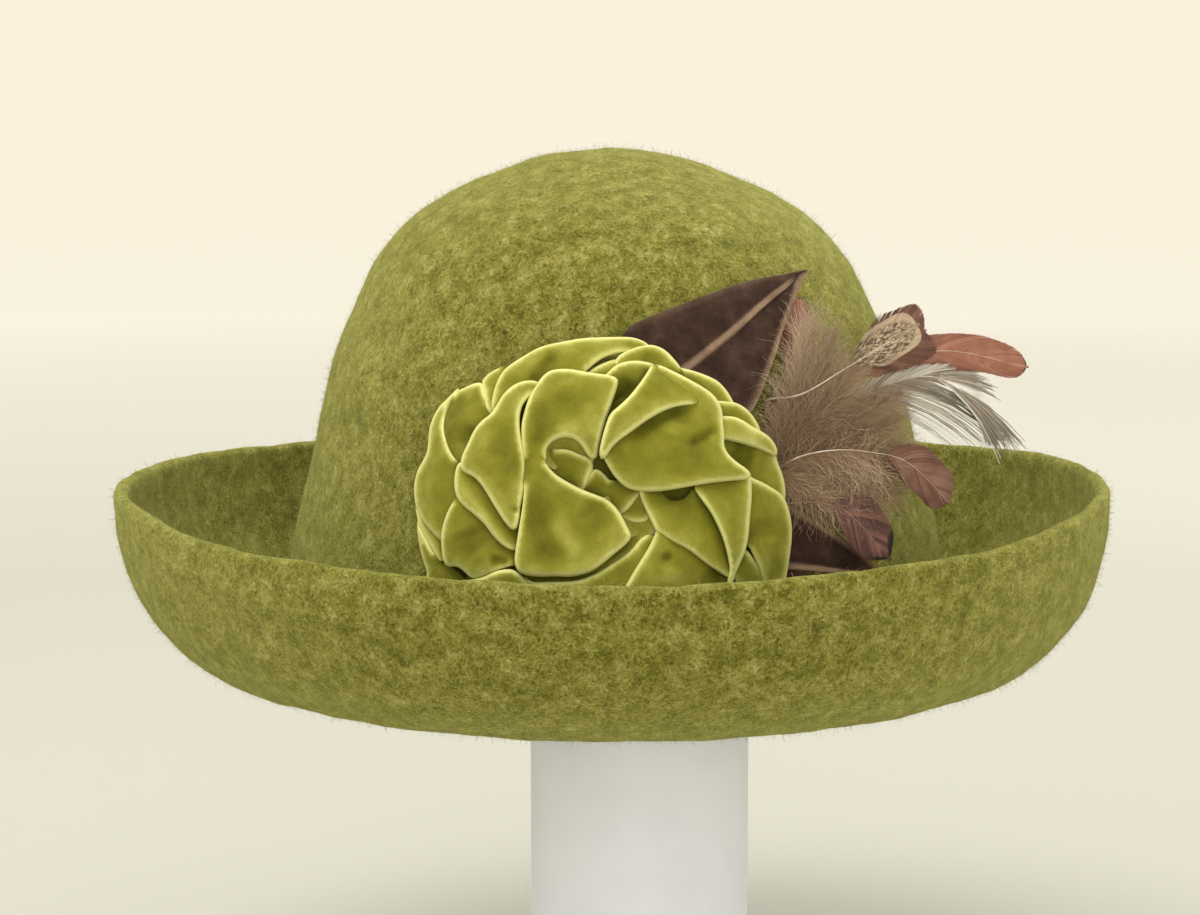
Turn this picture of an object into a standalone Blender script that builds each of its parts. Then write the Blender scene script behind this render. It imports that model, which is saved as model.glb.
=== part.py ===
"""Cloche hat of thick fulled wool on a plain round stand, trimmed with a velvet rosette, leaves and feathers.

The hat is one felt shell, crown and turned-up brim together. The trim is placed in crown coordinates: degrees of
turn round the hat's axis from the front towards +X, height over the brim's fold, and distance off the felt.
"""

import math

import bmesh
import bpy
from mathutils import Matrix, Vector

# Driving dimensions of the stand, in metres.
STAND_HEIGHT = 0.280
POST_DIAMETER = 0.068
POST_DOME = 0.012
BASE_DIAMETER = 0.160
BASE_THICKNESS = 0.014
BASE_BEVEL = 0.003
SOCKET_DEPTH = 0.006
SEAT_GAP = 0.0003

# Driving dimensions of the felt hat.
FELT_THICKNESS = 0.0045
CROWN_HEIGHT = 0.1513
CROWN_RADIUS = 0.0935
FOLD_RADIUS = 0.1165
RIM_RADIUS = 0.1478
BRIM_DEPTH = 0.0475
HAT_SHIFT = 0.0072
CROWN_LEAN = 0.0025

# Driving dimensions of the velvet rosette and leaves.
ROSETTE_RADIUS = 0.0525
ROSETTE_DOME = 0.0250
ROSETTE_TURN = -2.0
ROSETTE_HEIGHT = 0.0555
PETAL_RISE = 0.0040
PETAL_ROOT = 0.0010
TIER_STEP = 0.0035
EYE_RISE = 0.0045
LEAF_THICKNESS = 0.0012
LEAF_RIB_HEIGHT = 0.0010
LEAF_RIB_WIDTH = 0.0022
UPPER_LEAF_LENGTH = 0.072
LOWER_LEAF_LENGTH = 0.058

# Driving dimensions of the feathers.
QUILL_WIDTH = 0.0014
QUILL_THICKNESS = 0.0012
VANE_CUP = 0.12
DOWN_REACH = 0.036
DOWN_THICKNESS = 0.0036
DOWN_BUD = 0.0026

FACETS_ROUND_HAT = 60
FACETS_ROUND_STAND = 48
FACETS_ROUND_ROSETTE = 36
LIP_STEPS = 4
PETAL_STEPS = 4
FEATHER_STEPS = 9
LOCK_STEPS = 5
LEAF_STEPS = 10

# Felt centre line on the crown, from the tip down: height as a share of CROWN_HEIGHT, radius of CROWN_RADIUS.
CROWN_SECTIONS = (
    {"up": 1.000, "out": 0.000},
    {"up": 0.990, "out": 0.180},
    {"up": 0.960, "out": 0.340},
    {"up": 0.896, "out": 0.565},
    {"up": 0.813, "out": 0.714},
    {"up": 0.717, "out": 0.804},
    {"up": 0.587, "out": 0.894},
    {"up": 0.454, "out": 0.950},
    {"up": 0.326, "out": 1.000},
    {"up": 0.236, "out": 1.033},
    {"up": 0.127, "out": 1.067},
    {"up": 0.048, "out": 1.107},
)
# Felt centre line on the brim: share of the way from the fold out to the rim, height as a share of BRIM_DEPTH.
BRIM_SECTIONS = (
    {"out": -0.190, "up": 0.020},
    {"out": 0.000, "up": 0.000},
    {"out": 0.250, "up": 0.040},
    {"out": 0.463, "up": 0.126},
    {"out": 0.680, "up": 0.265},
    {"out": 0.840, "up": 0.450},
    {"out": 0.974, "up": 0.767},
    {"out": 1.000, "up": 1.000},
)
# How the soft rim wanders round the hat: lift as a share of BRIM_DEPTH, reach as a share of RIM_RADIUS.
RIM_WANDER = (
    {"turn": 0, "lift": -0.082, "reach": -0.014},
    {"turn": 40, "lift": -0.030, "reach": -0.004},
    {"turn": 75, "lift": 0.070, "reach": 0.003},
    {"turn": 105, "lift": 0.070, "reach": 0.003},
    {"turn": 140, "lift": -0.010, "reach": 0.006},
    {"turn": 180, "lift": -0.075, "reach": -0.018},
    {"turn": 220, "lift": -0.005, "reach": 0.006},
    {"turn": 255, "lift": 0.065, "reach": 0.003},
    {"turn": 285, "lift": 0.085, "reach": 0.002},
    {"turn": 320, "lift": -0.035, "reach": -0.004},
)
# The rosette's body by share of ROSETTE_RADIUS: its front and its back over the felt, as shares of ROSETTE_DOME.
# The middle is sewn down on the felt, and the rim stands off it, over the leaves' and feathers' ends.
ROSETTE_SECTIONS = (
    {"out": 0.00, "front": 0.74, "back": 0.00},
    {"out": 0.20, "front": 0.80, "back": 0.00},
    {"out": 0.38, "front": 0.96, "back": 0.00},
    {"out": 0.52, "front": 0.94, "back": 0.16},
    {"out": 0.66, "front": 0.84, "back": 0.34},
    {"out": 0.80, "front": 0.70, "back": 0.38},
    {"out": 0.92, "front": 0.58, "back": 0.40},
)
# Folded petals of the rosette. Angles are clock degrees round its eye from the top, radii are shares of
# ROSETTE_RADIUS. A petal starts under its neighbour at its "a" side and ends in a raised fold at its "b" side.
# Tier 1 is the front whorl and tier 0 the ruff behind it. The rise is a share of PETAL_RISE.
PETALS = (
    {"tier": 0, "in_a": 300, "in_b": 338, "rin": 0.50, "out_a": 318, "out_b": 352, "rout": 0.96, "rise": 0.9},
    {"tier": 0, "in_a": 336, "in_b": 370, "rin": 0.50, "out_a": 345, "out_b": 382, "rout": 0.99, "rise": 0.9},
    {"tier": 0, "in_a": 8, "in_b": 34, "rin": 0.50, "out_a": 16, "out_b": 46, "rout": 0.95, "rise": 0.8},
    {"tier": 0, "in_a": 32, "in_b": 56, "rin": 0.50, "out_a": 40, "out_b": 66, "rout": 0.94, "rise": 0.8},
    {"tier": 0, "in_a": 54, "in_b": 80, "rin": 0.50, "out_a": 62, "out_b": 90, "rout": 0.97, "rise": 0.9},
    {"tier": 0, "in_a": 78, "in_b": 106, "rin": 0.50, "out_a": 86, "out_b": 120, "rout": 1.00, "rise": 1.0},
    {"tier": 0, "in_a": 104, "in_b": 132, "rin": 0.50, "out_a": 114, "out_b": 146, "rout": 1.00, "rise": 0.8},
    {"tier": 0, "in_a": 130, "in_b": 160, "rin": 0.50, "out_a": 140, "out_b": 174, "rout": 0.98, "rise": 0.8},
    {"tier": 0, "in_a": 158, "in_b": 190, "rin": 0.50, "out_a": 168, "out_b": 204, "rout": 0.98, "rise": 0.8},
    {"tier": 0, "in_a": 188, "in_b": 220, "rin": 0.50, "out_a": 198, "out_b": 234, "rout": 0.98, "rise": 0.8},
    {"tier": 0, "in_a": 218, "in_b": 248, "rin": 0.50, "out_a": 228, "out_b": 260, "rout": 0.99, "rise": 0.9},
    {"tier": 0, "in_a": 246, "in_b": 276, "rin": 0.50, "out_a": 254, "out_b": 292, "rout": 1.00, "rise": 0.9},
    {"tier": 0, "in_a": 274, "in_b": 303, "rin": 0.50, "out_a": 286, "out_b": 322, "rout": 0.97, "rise": 0.9},
    {"tier": 1, "in_a": 300, "in_b": 346, "rin": 0.26, "out_a": 328, "out_b": 370, "rout": 0.72, "rise": 1.0},
    {"tier": 1, "in_a": -10, "in_b": 8, "rin": 0.18, "out_a": 14, "out_b": 50, "rout": 0.76, "rise": 0.9},
    {"tier": 1, "in_a": 10, "in_b": 78, "rin": 0.17, "out_a": 46, "out_b": 84, "rout": 0.79, "rise": 1.0},
    {"tier": 1, "in_a": 80, "in_b": 112, "rin": 0.24, "out_a": 80, "out_b": 122, "rout": 0.79, "rise": 0.8},
    {"tier": 1, "in_a": 110, "in_b": 140, "rin": 0.28, "out_a": 118, "out_b": 168, "rout": 0.80, "rise": 0.8},
    {"tier": 1, "in_a": 142, "in_b": 172, "rin": 0.26, "out_a": 164, "out_b": 206, "rout": 0.76, "rise": 0.7},
    {"tier": 1, "in_a": 170, "in_b": 280, "rin": 0.16, "out_a": 196, "out_b": 232, "rout": 0.72, "rise": 1.2},
    {"tier": 1, "in_a": 232, "in_b": 262, "rin": 0.42, "out_a": 232, "out_b": 270, "rout": 0.79, "rise": 0.8},
    {"tier": 1, "in_a": 258, "in_b": 296, "rin": 0.36, "out_a": 266, "out_b": 312, "rout": 0.78, "rise": 1.0},
    {"tier": 1, "in_a": 292, "in_b": 312, "rin": 0.36, "out_a": 308, "out_b": 334, "rout": 0.74, "rise": 0.8},
)
# How a petal swells from its "a" side to its fold, and from its inner end to its outer end.
PETAL_ACROSS = (0.00, 0.55, 0.90, 1.00, 0.70)
PETAL_ALONG = (0.45, 0.95, 1.00, 0.90, 0.35)

# Leaf outlines: share of the length from the base, and widths above and below the rib as shares of the length.
UPPER_LEAF_SECTIONS = (
    {"along": 0.00, "over": 0.080, "under": 0.080},
    {"along": 0.12, "over": 0.210, "under": 0.220},
    {"along": 0.25, "over": 0.260, "under": 0.300},
    {"along": 0.38, "over": 0.235, "under": 0.320},
    {"along": 0.50, "over": 0.185, "under": 0.250},
    {"along": 0.65, "over": 0.115, "under": 0.150},
    {"along": 0.80, "over": 0.060, "under": 0.080},
    {"along": 1.00, "over": 0.012, "under": 0.012},
)
LOWER_LEAF_SECTIONS = (
    {"along": 0.00, "over": 0.070, "under": 0.070},
    {"along": 0.20, "over": 0.250, "under": 0.180},
    {"along": 0.35, "over": 0.310, "under": 0.210},
    {"along": 0.50, "over": 0.295, "under": 0.200},
    {"along": 0.76, "over": 0.155, "under": 0.120},
    {"along": 1.00, "over": 0.015, "under": 0.015},
)
# Leaf spines: degrees of turn, height as a share of CROWN_HEIGHT, metres off the felt.
UPPER_LEAF_SPINE = (
    {"turn": 4.0, "up": 0.565, "off": 0.0011},
    {"turn": 14.0, "up": 0.645, "off": 0.0040},
    {"turn": 32.0, "up": 0.752, "off": 0.0062},
    {"turn": 47.5, "up": 0.801, "off": 0.0070},
)
LOWER_LEAF_SPINE = (
    {"turn": 14.0, "up": 0.272, "off": 0.0011},
    {"turn": 28.0, "up": 0.258, "off": 0.0038},
    {"turn": 46.0, "up": 0.225, "off": 0.0098},
)

# Feathers: how far the vane reaches to each side in metres, the share of the spine where it starts, how blunt
# its tip is from 0 to 1, and the spine from the quill's end, which lies on the felt, to the tip.
FEATHERS = (
    {"name": "feather_rust_long", "colour": "rust", "vane": 0.0066, "start": 0.50, "blunt": 0.45, "spine": (
        {"turn": 28.5, "up": 0.515, "off": 0.0010},
        {"turn": 37.0, "up": 0.550, "off": 0.0024},
        {"turn": 46.0, "up": 0.600, "off": 0.0060},
        {"turn": 57.5, "up": 0.661, "off": 0.0290},
        {"turn": 65.2, "up": 0.612, "off": 0.0460})},
    {"name": "feather_mauve_round", "colour": "mauve", "vane": 0.0100, "start": 0.52, "blunt": 0.70, "spine": (
        {"turn": 28.0, "up": 0.545, "off": 0.0010},
        {"turn": 35.0, "up": 0.585, "off": 0.0026},
        {"turn": 40.5, "up": 0.625, "off": 0.0060},
        {"turn": 47.0, "up": 0.670, "off": 0.0200},
        {"turn": 51.5, "up": 0.722, "off": 0.0330})},
    {"name": "feather_mottled", "colour": "cream", "vane": 0.0068, "start": 0.50, "blunt": 0.65, "spine": (
        {"turn": 29.5, "up": 0.570, "off": 0.0010},
        {"turn": 32.0, "up": 0.582, "off": 0.0105},
        {"turn": 37.0, "up": 0.600, "off": 0.0190},
        {"turn": 43.0, "up": 0.650, "off": 0.0275},
        {"turn": 48.5, "up": 0.708, "off": 0.0370})},
    {"name": "feather_grey_plume", "colour": "grey", "vane": 0.0066, "start": 0.55, "blunt": 0.25, "spine": (
        {"turn": 28.5, "up": 0.485, "off": 0.0010},
        {"turn": 36.0, "up": 0.500, "off": 0.0022},
        {"turn": 45.0, "up": 0.530, "off": 0.0045},
        {"turn": 56.5, "up": 0.545, "off": 0.0265},
        {"turn": 63.5, "up": 0.470, "off": 0.0350})},
    {"name": "feather_white_quill", "colour": "mauve", "vane": 0.0080, "start": 0.62, "blunt": 0.70, "spine": (
        {"turn": 26.0, "up": 0.405, "off": 0.0010},
        {"turn": 29.5, "up": 0.398, "off": 0.0058},
        {"turn": 34.0, "up": 0.430, "off": 0.0175},
        {"turn": 44.5, "up": 0.465, "off": 0.0245},
        {"turn": 53.0, "up": 0.374, "off": 0.0260})},
    {"name": "feather_rust_low", "colour": "rust", "vane": 0.0066, "start": 0.48, "blunt": 0.70, "spine": (
        {"turn": 26.0, "up": 0.375, "off": 0.0010},
        {"turn": 30.0, "up": 0.385, "off": 0.0045},
        {"turn": 34.0, "up": 0.385, "off": 0.0130},
        {"turn": 38.5, "up": 0.355, "off": 0.0180},
        {"turn": 43.0, "up": 0.305, "off": 0.0195})},
    {"name": "feather_rust_tip", "colour": "rust", "vane": 0.0042, "start": 0.50, "blunt": 0.50, "spine": (
        {"turn": 27.5, "up": 0.600, "off": 0.0011},
        {"turn": 33.0, "up": 0.652, "off": 0.0016},
        {"turn": 38.5, "up": 0.700, "off": 0.0026},
        {"turn": 43.5, "up": 0.748, "off": 0.0042})},
)
# Locks of the down tuft, which fan out from one bud: degrees above the level in the felt's surface, length and
# half-width as shares of DOWN_REACH, and metres off the felt at the tip.
DOWN_ROOT = {"turn": 27.0, "up": 0.447, "off": 0.0030}
DOWN_LOCKS = (
    {"rise": 58, "length": 0.80, "width": 0.12, "off": 0.0072},
    {"rise": 42, "length": 0.97, "width": 0.15, "off": 0.0100},
    {"rise": 24, "length": 1.00, "width": 0.15, "off": 0.0120},
    {"rise": 6, "length": 1.00, "width": 0.15, "off": 0.0130},
    {"rise": -12, "length": 0.92, "width": 0.14, "off": 0.0130},
    {"rise": -28, "length": 0.74, "width": 0.12, "off": 0.0120},
)

COLOURS = {
    "felt": (0.23, 0.25, 0.045),
    "velvet": (0.37, 0.37, 0.030),
    "leaf": (0.080, 0.042, 0.036),
    "rust": (0.36, 0.13, 0.075),
    "mauve": (0.26, 0.115, 0.085),
    "cream": (0.56, 0.47, 0.31),
    "grey": (0.36, 0.33, 0.27),
    "down": (0.30, 0.21, 0.135),
    "paint": (0.80, 0.79, 0.77),
}
ROUGHNESS = {"felt": 0.95, "velvet": 0.80, "leaf": 0.80, "paint": 0.45}
FEATHER_ROUGHNESS = 0.60


def finish(colour):
    """The Principled material of one colour, made the first time that it is asked for."""
    material = bpy.data.materials.get(colour)
    if material is None:
        material = bpy.data.materials.new(colour)
        material.use_nodes = True
        shader = material.node_tree.nodes["Principled BSDF"]
        shader.inputs["Base Color"].default_value = (*COLOURS[colour], 1.0)
        shader.inputs["Roughness"].default_value = ROUGHNESS.get(colour, FEATHER_ROUGHNESS)
        shader.inputs["Metallic"].default_value = 0.0
    return material


def add_object(name, bm, colour, smooth_angle, origin=Vector((0.0, 0.0, 0.0))):
    """Makes an object, with its origin at a point, from a bmesh modelled where the piece stands."""
    bmesh.ops.translate(bm, verts=bm.verts, vec=-origin)
    bmesh.ops.recalc_face_normals(bm, faces=bm.faces)
    mesh = bpy.data.meshes.new(name)
    bm.to_mesh(mesh)
    bm.free()
    mesh.shade_smooth()
    mesh.set_sharp_from_angle(angle=math.radians(smooth_angle))
    mesh.materials.append(finish(colour))
    obj = bpy.data.objects.new(name, mesh)
    obj.location = origin
    bpy.context.scene.collection.objects.link(obj)
    return obj


def fuse(body, pieces):
    """Joins closed shapes to a body by a Boolean union. The shapes themselves stay as hidden guides."""
    group = bpy.data.collections.new(body.name + "_pieces")
    for piece in pieces:
        piece.hide_render = True
        piece.display_type = "WIRE"
        group.objects.link(piece)
    union = body.modifiers.new("union", "BOOLEAN")
    union.operation = "UNION"
    union.solver = "EXACT"
    union.operand_type = "COLLECTION"
    union.collection = group


def turned(outline, steps):
    """A closed solid spun round the upright axis from an outline of radii and heights between axis points."""
    bm = bmesh.new()
    corners = [bm.verts.new((radius, 0.0, height)) for radius, height in outline]
    edges = [bm.edges.new(pair) for pair in zip(corners, corners[1:])]
    bmesh.ops.spin(bm, geom=[*corners, *edges], cent=(0, 0, 0), axis=(0, 0, 1), dvec=(0, 0, 0),
                   angle=math.tau, steps=steps, use_merge=True)
    bmesh.ops.remove_doubles(bm, verts=bm.verts, dist=1e-6)
    return bm


def lofted(rings):
    """A closed solid through rings of points that have the same count, with a flat cap on each end."""
    bm = bmesh.new()
    made = [[bm.verts.new(point) for point in ring] for ring in rings]
    for here, there in zip(made, made[1:]):
        for i in range(len(here)):
            j = (i + 1) % len(here)
            bm.faces.new((here[i], here[j], there[j], there[i]))
    bm.faces.new(made[0][::-1])
    bm.faces.new(made[-1])
    return bm


def curve_point(points, share):
    """The point at a share of a smooth curve through vectors."""
    last = len(points) - 1
    i = min(int(share * last), last - 1)
    f = share * last - i
    a, b = points[i], points[i + 1]
    before = points[i - 1] if i > 0 else a * 2 - b
    after = points[i + 2] if i + 2 <= last else b * 2 - a
    bend = (before * 2 - a * 5 + b * 4 - after) * (f * f) + (a * 3 - before - b * 3 + after) * (f * f * f)
    return a + ((b - before) * f + bend) * 0.5


def look_up(rows, key, value, x):
    """The value of one column where another column, sorted upwards, holds x."""
    if x <= rows[0][key]:
        return rows[0][value]
    for low, high in zip(rows, rows[1:]):
        if x <= high[key]:
            return low[value] + (high[value] - low[value]) * (x - low[key]) / (high[key] - low[key])
    return rows[-1][value]


def round_look_up(rows, value, turn):
    """The value of a column at a turn round the hat, eased between the rows on either side."""
    closed = [*rows, {**rows[0], "turn": rows[0]["turn"] + 360}]
    turn %= 360.0
    for low, high in zip(closed, closed[1:]):
        if turn <= high["turn"]:
            share = (turn - low["turn"]) / (high["turn"] - low["turn"])
            return low[value] + (high[value] - low[value]) * share * share * (3 - 2 * share)
    return rows[0][value]


def felt_centre_line():
    """The middle of the felt in the hat's upright plane: out from the axis, and up from the brim's fold."""
    crown = [Vector((s["out"] * CROWN_RADIUS, s["up"] * CROWN_HEIGHT)) for s in CROWN_SECTIONS]
    reach = RIM_RADIUS - FOLD_RADIUS
    brim = [Vector((FOLD_RADIUS + s["out"] * reach, s["up"] * BRIM_DEPTH)) for s in BRIM_SECTIONS]
    return crown + brim


def offset_line(points, distance):
    """A line moved to its left when followed from first to last, which is outwards on the crown."""
    moved = []
    for i, point in enumerate(points):
        step = points[min(i + 1, len(points) - 1)] - points[max(i - 1, 0)]
        side = Vector((-step.y, step.x)).normalized() if i > 0 else Vector((0.0, 1.0))
        moved.append(point + side * distance)
    return moved


CENTRE_LINE = felt_centre_line()
OUTSIDE_LINE = offset_line(CENTRE_LINE, FELT_THICKNESS / 2)
INSIDE_LINE = offset_line(CENTRE_LINE, -FELT_THICKNESS / 2)
CROWN_COUNT = len(CROWN_SECTIONS)


def line_radius(line, height):
    """The radius of the crown's part of a felt line at a height over the fold."""
    for high, low in zip(line[:CROWN_COUNT], line[1:CROWN_COUNT]):
        if height >= low.y:
            share = max((height - high.y) / (low.y - high.y), 0.0)
            return high.x + (low.x - high.x) * share
    return line[CROWN_COUNT - 1].x


def line_height(line, radius):
    """The height over the fold of the crown's part of a felt line at a radius."""
    for high, low in zip(line[:CROWN_COUNT], line[1:CROWN_COUNT]):
        if radius <= low.x:
            return high.y + (low.y - high.y) * (radius - high.x) / (low.x - high.x)
    return line[CROWN_COUNT - 1].y


def axis_shift(height):
    """How far the hat's axis lies towards -X from the post's, which grows up the leaning crown."""
    return HAT_SHIFT + CROWN_LEAN * max(height / CROWN_HEIGHT, 0.0) ** 2


def post_top_height(radius):
    """Height of the post's domed end above the floor at a distance from the post's axis."""
    half = POST_DIAMETER / 2
    ball = (half * half + POST_DOME * POST_DOME) / (2 * POST_DOME)
    return STAND_HEIGHT - ball + math.sqrt(ball * ball - radius * radius)


def seated_fold_height():
    """Height of the brim's fold above the floor when the crown sits on the post with SEAT_GAP between them."""
    half, steps = POST_DIAMETER / 2, 24
    lifts = []
    for i in range(steps + 1):
        x = half * (2 * i / steps - 1)
        inside = line_height(INSIDE_LINE, abs(x + axis_shift(CROWN_HEIGHT)))
        inside = line_height(INSIDE_LINE, abs(x + axis_shift(inside)))
        lifts.append(post_top_height(x) - inside)
    return max(lifts) + SEAT_GAP


FOLD_HEIGHT = seated_fold_height()


def hat_point(turn, height, radius):
    """The place at a turn from the front towards +X, a height over the fold and a radius from the hat's axis."""
    angle = math.radians(turn)
    return Vector((
        radius * math.sin(angle) - axis_shift(height),
        -radius * math.cos(angle),
        FOLD_HEIGHT + height,
    ))


def off_crown(turn, height, off):
    """The place that stands off the outside of the crown's felt."""
    return hat_point(turn, height, line_radius(OUTSIDE_LINE, height) + off)


def off_crown_row(row):
    return off_crown(row["turn"], row["up"] * CROWN_HEIGHT, row["off"])


def crown_distance(place):
    """How far a place lies outside the crown's felt, measured level."""
    height = place.z - FOLD_HEIGHT
    return math.hypot(place.x + axis_shift(height), place.y) - line_radius(OUTSIDE_LINE, height)


def walked(turn, height, right, up):
    """The turn and height that are reached by going right and up along the felt from a place on the crown."""
    below = line_radius(OUTSIDE_LINE, height - up * 0.5)
    above = line_radius(OUTSIDE_LINE, height + up * 0.5)
    steep = abs(up) / math.hypot(up, above - below) if up else 1.0
    radius = line_radius(OUTSIDE_LINE, height + up * steep)
    return turn + math.degrees(right / radius), height + up * steep


def shape_brim(point):
    """Where a point of the evenly turned felt lies once the brim wanders and the crown leans."""
    radius = math.hypot(point.x, point.y)
    turn = math.degrees(math.atan2(point.x, -point.y)) if radius > 0 else 0.0
    up = max(point.z / BRIM_DEPTH, 0.0) if radius > FOLD_RADIUS else 0.0
    height = point.z + round_look_up(RIM_WANDER, "lift", turn) * BRIM_DEPTH * up
    radius += round_look_up(RIM_WANDER, "reach", turn) * RIM_RADIUS * up
    return hat_point(turn, height, radius)


def build_felt():
    """One shell of felt: outside face, round lip and inside face, turned and then shaped by hand."""
    end = CENTRE_LINE[-1]
    along = (end - CENTRE_LINE[-2]).normalized()
    side = Vector((-along.y, along.x))
    lip = []
    for i in range(1, LIP_STEPS):
        angle = math.pi * i / LIP_STEPS
        lip.append(end + (side * math.cos(angle) + along * math.sin(angle)) * (FELT_THICKNESS / 2))
    bm = turned([(p.x, p.y) for p in [*OUTSIDE_LINE, *lip, *INSIDE_LINE[::-1]]], FACETS_ROUND_HAT)
    for vert in bm.verts:
        vert.co = shape_brim(vert.co)
    add_object("felt_hat", bm, "felt", 50.0, Vector((-HAT_SHIFT, 0.0, FOLD_HEIGHT)))


def build_stand():
    """A turned base with a shallow socket, and the domed post that stands in it."""
    half, floor = POST_DIAMETER / 2, BASE_THICKNESS - SOCKET_DEPTH
    steps = 6
    dome = [(half * i / steps, post_top_height(half * i / steps)) for i in range(steps + 1)]
    foot = floor + SEAT_GAP
    add_object("stand_post", turned([*dome, (half, foot), (0.0, foot)], FACETS_ROUND_STAND), "paint", 35.0)
    edge, socket = BASE_DIAMETER / 2, half + SEAT_GAP
    bevel = [math.pi / 2 * i / 3 for i in range(4)]
    shoulder = [
        (edge - BASE_BEVEL * (1 - math.sin(a)), BASE_THICKNESS - BASE_BEVEL * (1 - math.cos(a))) for a in bevel
    ]
    base = [(0.0, floor), (socket, floor), (socket, BASE_THICKNESS), *shoulder, (edge, 0.0), (0.0, 0.0)]
    add_object("stand_base", turned(base, FACETS_ROUND_STAND), "paint", 35.0)


def rosette_frame():
    """The rosette's own axes on the front of the crown: right along the felt, up its slope, and out of it."""
    turn, reach = ROSETTE_TURN, ROSETTE_RADIUS / 2
    below = off_crown(turn, ROSETTE_HEIGHT - reach, 0.0)
    above = off_crown(turn, ROSETTE_HEIGHT + reach, 0.0)
    right = Vector((math.cos(math.radians(turn)), math.sin(math.radians(turn)), 0.0))
    up = (above - below).normalized()
    frame = Matrix((right, up, right.cross(up))).transposed().to_4x4()
    frame.translation = off_crown(turn, ROSETTE_HEIGHT, 0.0)
    return frame


ROSETTE = rosette_frame()


def rosette_point(right, up, lift):
    """A place over the felt behind the rosette, with the lift measured straight out of the rosette's plane."""
    near, far = -ROSETTE_RADIUS, ROSETTE_RADIUS
    for _ in range(24):
        middle = (near + far) / 2
        if crown_distance(ROSETTE @ Vector((right, up, middle))) < 0:
            near = middle
        else:
            far = middle
    return ROSETTE @ Vector((right, up, far + lift))


def rosette_lift(side, radius):
    return look_up(ROSETTE_SECTIONS, "out", side, radius / ROSETTE_RADIUS) * ROSETTE_DOME + SEAT_GAP


def petal_point(petal, across, along, raised):
    """A point on the raised top, or else the sunk underside, of a petal at shares of its width and length."""
    start = petal["in_a"] + (petal["in_b"] - petal["in_a"]) * across
    stop = petal["out_a"] + (petal["out_b"] - petal["out_a"]) * across
    clock = math.radians(start + (stop - start) * along)
    radius = ROSETTE_RADIUS * (petal["rin"] + (petal["rout"] - petal["rin"]) * along)
    right = radius * math.sin(clock)
    up = radius * math.cos(clock) + EYE_RISE * (1 - radius / ROSETTE_RADIUS)
    front, back = rosette_lift("front", radius), rosette_lift("back", radius)
    if not raised:
        return rosette_point(right, up, back + (front - back) * 0.4)
    swell = PETAL_ACROSS[round(across * PETAL_STEPS)] * PETAL_ALONG[round(along * PETAL_STEPS)]
    tier = petal["tier"] * TIER_STEP * PETAL_ALONG[round(along * PETAL_STEPS)]
    return rosette_point(right, up, front - PETAL_ROOT + tier + swell * petal["rise"] * PETAL_RISE)


def petal_solid(petal, number):
    """One folded petal as a closed solid whose underside is sunk in the rosette's body."""
    bm = bmesh.new()
    shares = [i / PETAL_STEPS for i in range(PETAL_STEPS + 1)]
    sides = []
    for raised in (True, False):
        grid = [[bm.verts.new(petal_point(petal, u, v, raised)) for v in shares] for u in shares]
        sides.append(grid)
        for i in range(PETAL_STEPS):
            for j in range(PETAL_STEPS):
                bm.faces.new((grid[i][j], grid[i + 1][j], grid[i + 1][j + 1], grid[i][j + 1]))
    loops = [grid_border(grid) for grid in sides]
    count = len(loops[0])
    for i in range(count):
        j = (i + 1) % count
        bm.faces.new((loops[0][i], loops[0][j], loops[1][j], loops[1][i]))
    bmesh.ops.triangulate(bm, faces=bm.faces)
    return add_object(f"petal_{number:02}", bm, "velvet", 30.0)


def grid_border(grid):
    """The outer points of a grid, in order round it."""
    last = len(grid) - 1
    ahead = [grid[i][0] for i in range(last)] + [grid[last][j] for j in range(last)]
    return ahead + [grid[last - i][last] for i in range(last)] + [grid[0][last - j] for j in range(last)]


def build_rosette():
    """A padded body sewn to the crown, with the folded petals of both tiers joined to it."""
    fronts = [(s["out"] * ROSETTE_RADIUS, s["front"] * ROSETTE_DOME + SEAT_GAP) for s in ROSETTE_SECTIONS]
    backs = [(s["out"] * ROSETTE_RADIUS, s["back"] * ROSETTE_DOME + SEAT_GAP) for s in ROSETTE_SECTIONS]
    bm = turned(fronts + backs[::-1], FACETS_ROUND_ROSETTE)
    for vert in bm.verts:
        vert.co = rosette_point(vert.co.x, vert.co.y, vert.co.z)
    body = add_object("velvet_rosette", bm, "velvet", 30.0)
    fuse(body, [petal_solid(petal, number) for number, petal in enumerate(PETALS)])


def build_leaf(name, length, sections, spine):
    """A stiffened velvet leaf with a raised rib along it, laid round the crown."""
    marks = [Vector((row["turn"], row["up"] * CROWN_HEIGHT, row["off"])) for row in spine]
    rings = []
    for i in range(LEAF_STEPS + 1):
        share = i / LEAF_STEPS
        turn, height, off = curve_point(marks, share)
        step = curve_point(marks, min(share + 0.02, 1.0)) - curve_point(marks, max(share - 0.02, 0.0))
        radius = line_radius(OUTSIDE_LINE, height)
        heading = math.atan2(step.y, math.radians(step.x) * radius)
        over = look_up(sections, "along", "over", share) * length
        under = look_up(sections, "along", "under", share) * length
        rib = LEAF_RIB_WIDTH / 2 * (1 - 0.6 * share)
        top, half = LEAF_THICKNESS / 2 + LEAF_RIB_HEIGHT, LEAF_THICKNESS / 2
        across = (-under, -rib, 0.0, rib, over, over, 0.0, -under)
        lifts = (half, half, top, half, half, -half, -half, -half)
        ring = []
        for side, lift in zip(across, lifts):
            right, up = -math.sin(heading) * side, math.cos(heading) * side
            side_turn, side_height = walked(turn, height, right, up)
            ring.append(off_crown(side_turn, side_height, off + lift))
        rings.append(ring)
    add_object(name, lofted(rings), "leaf", 30.0)


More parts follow.
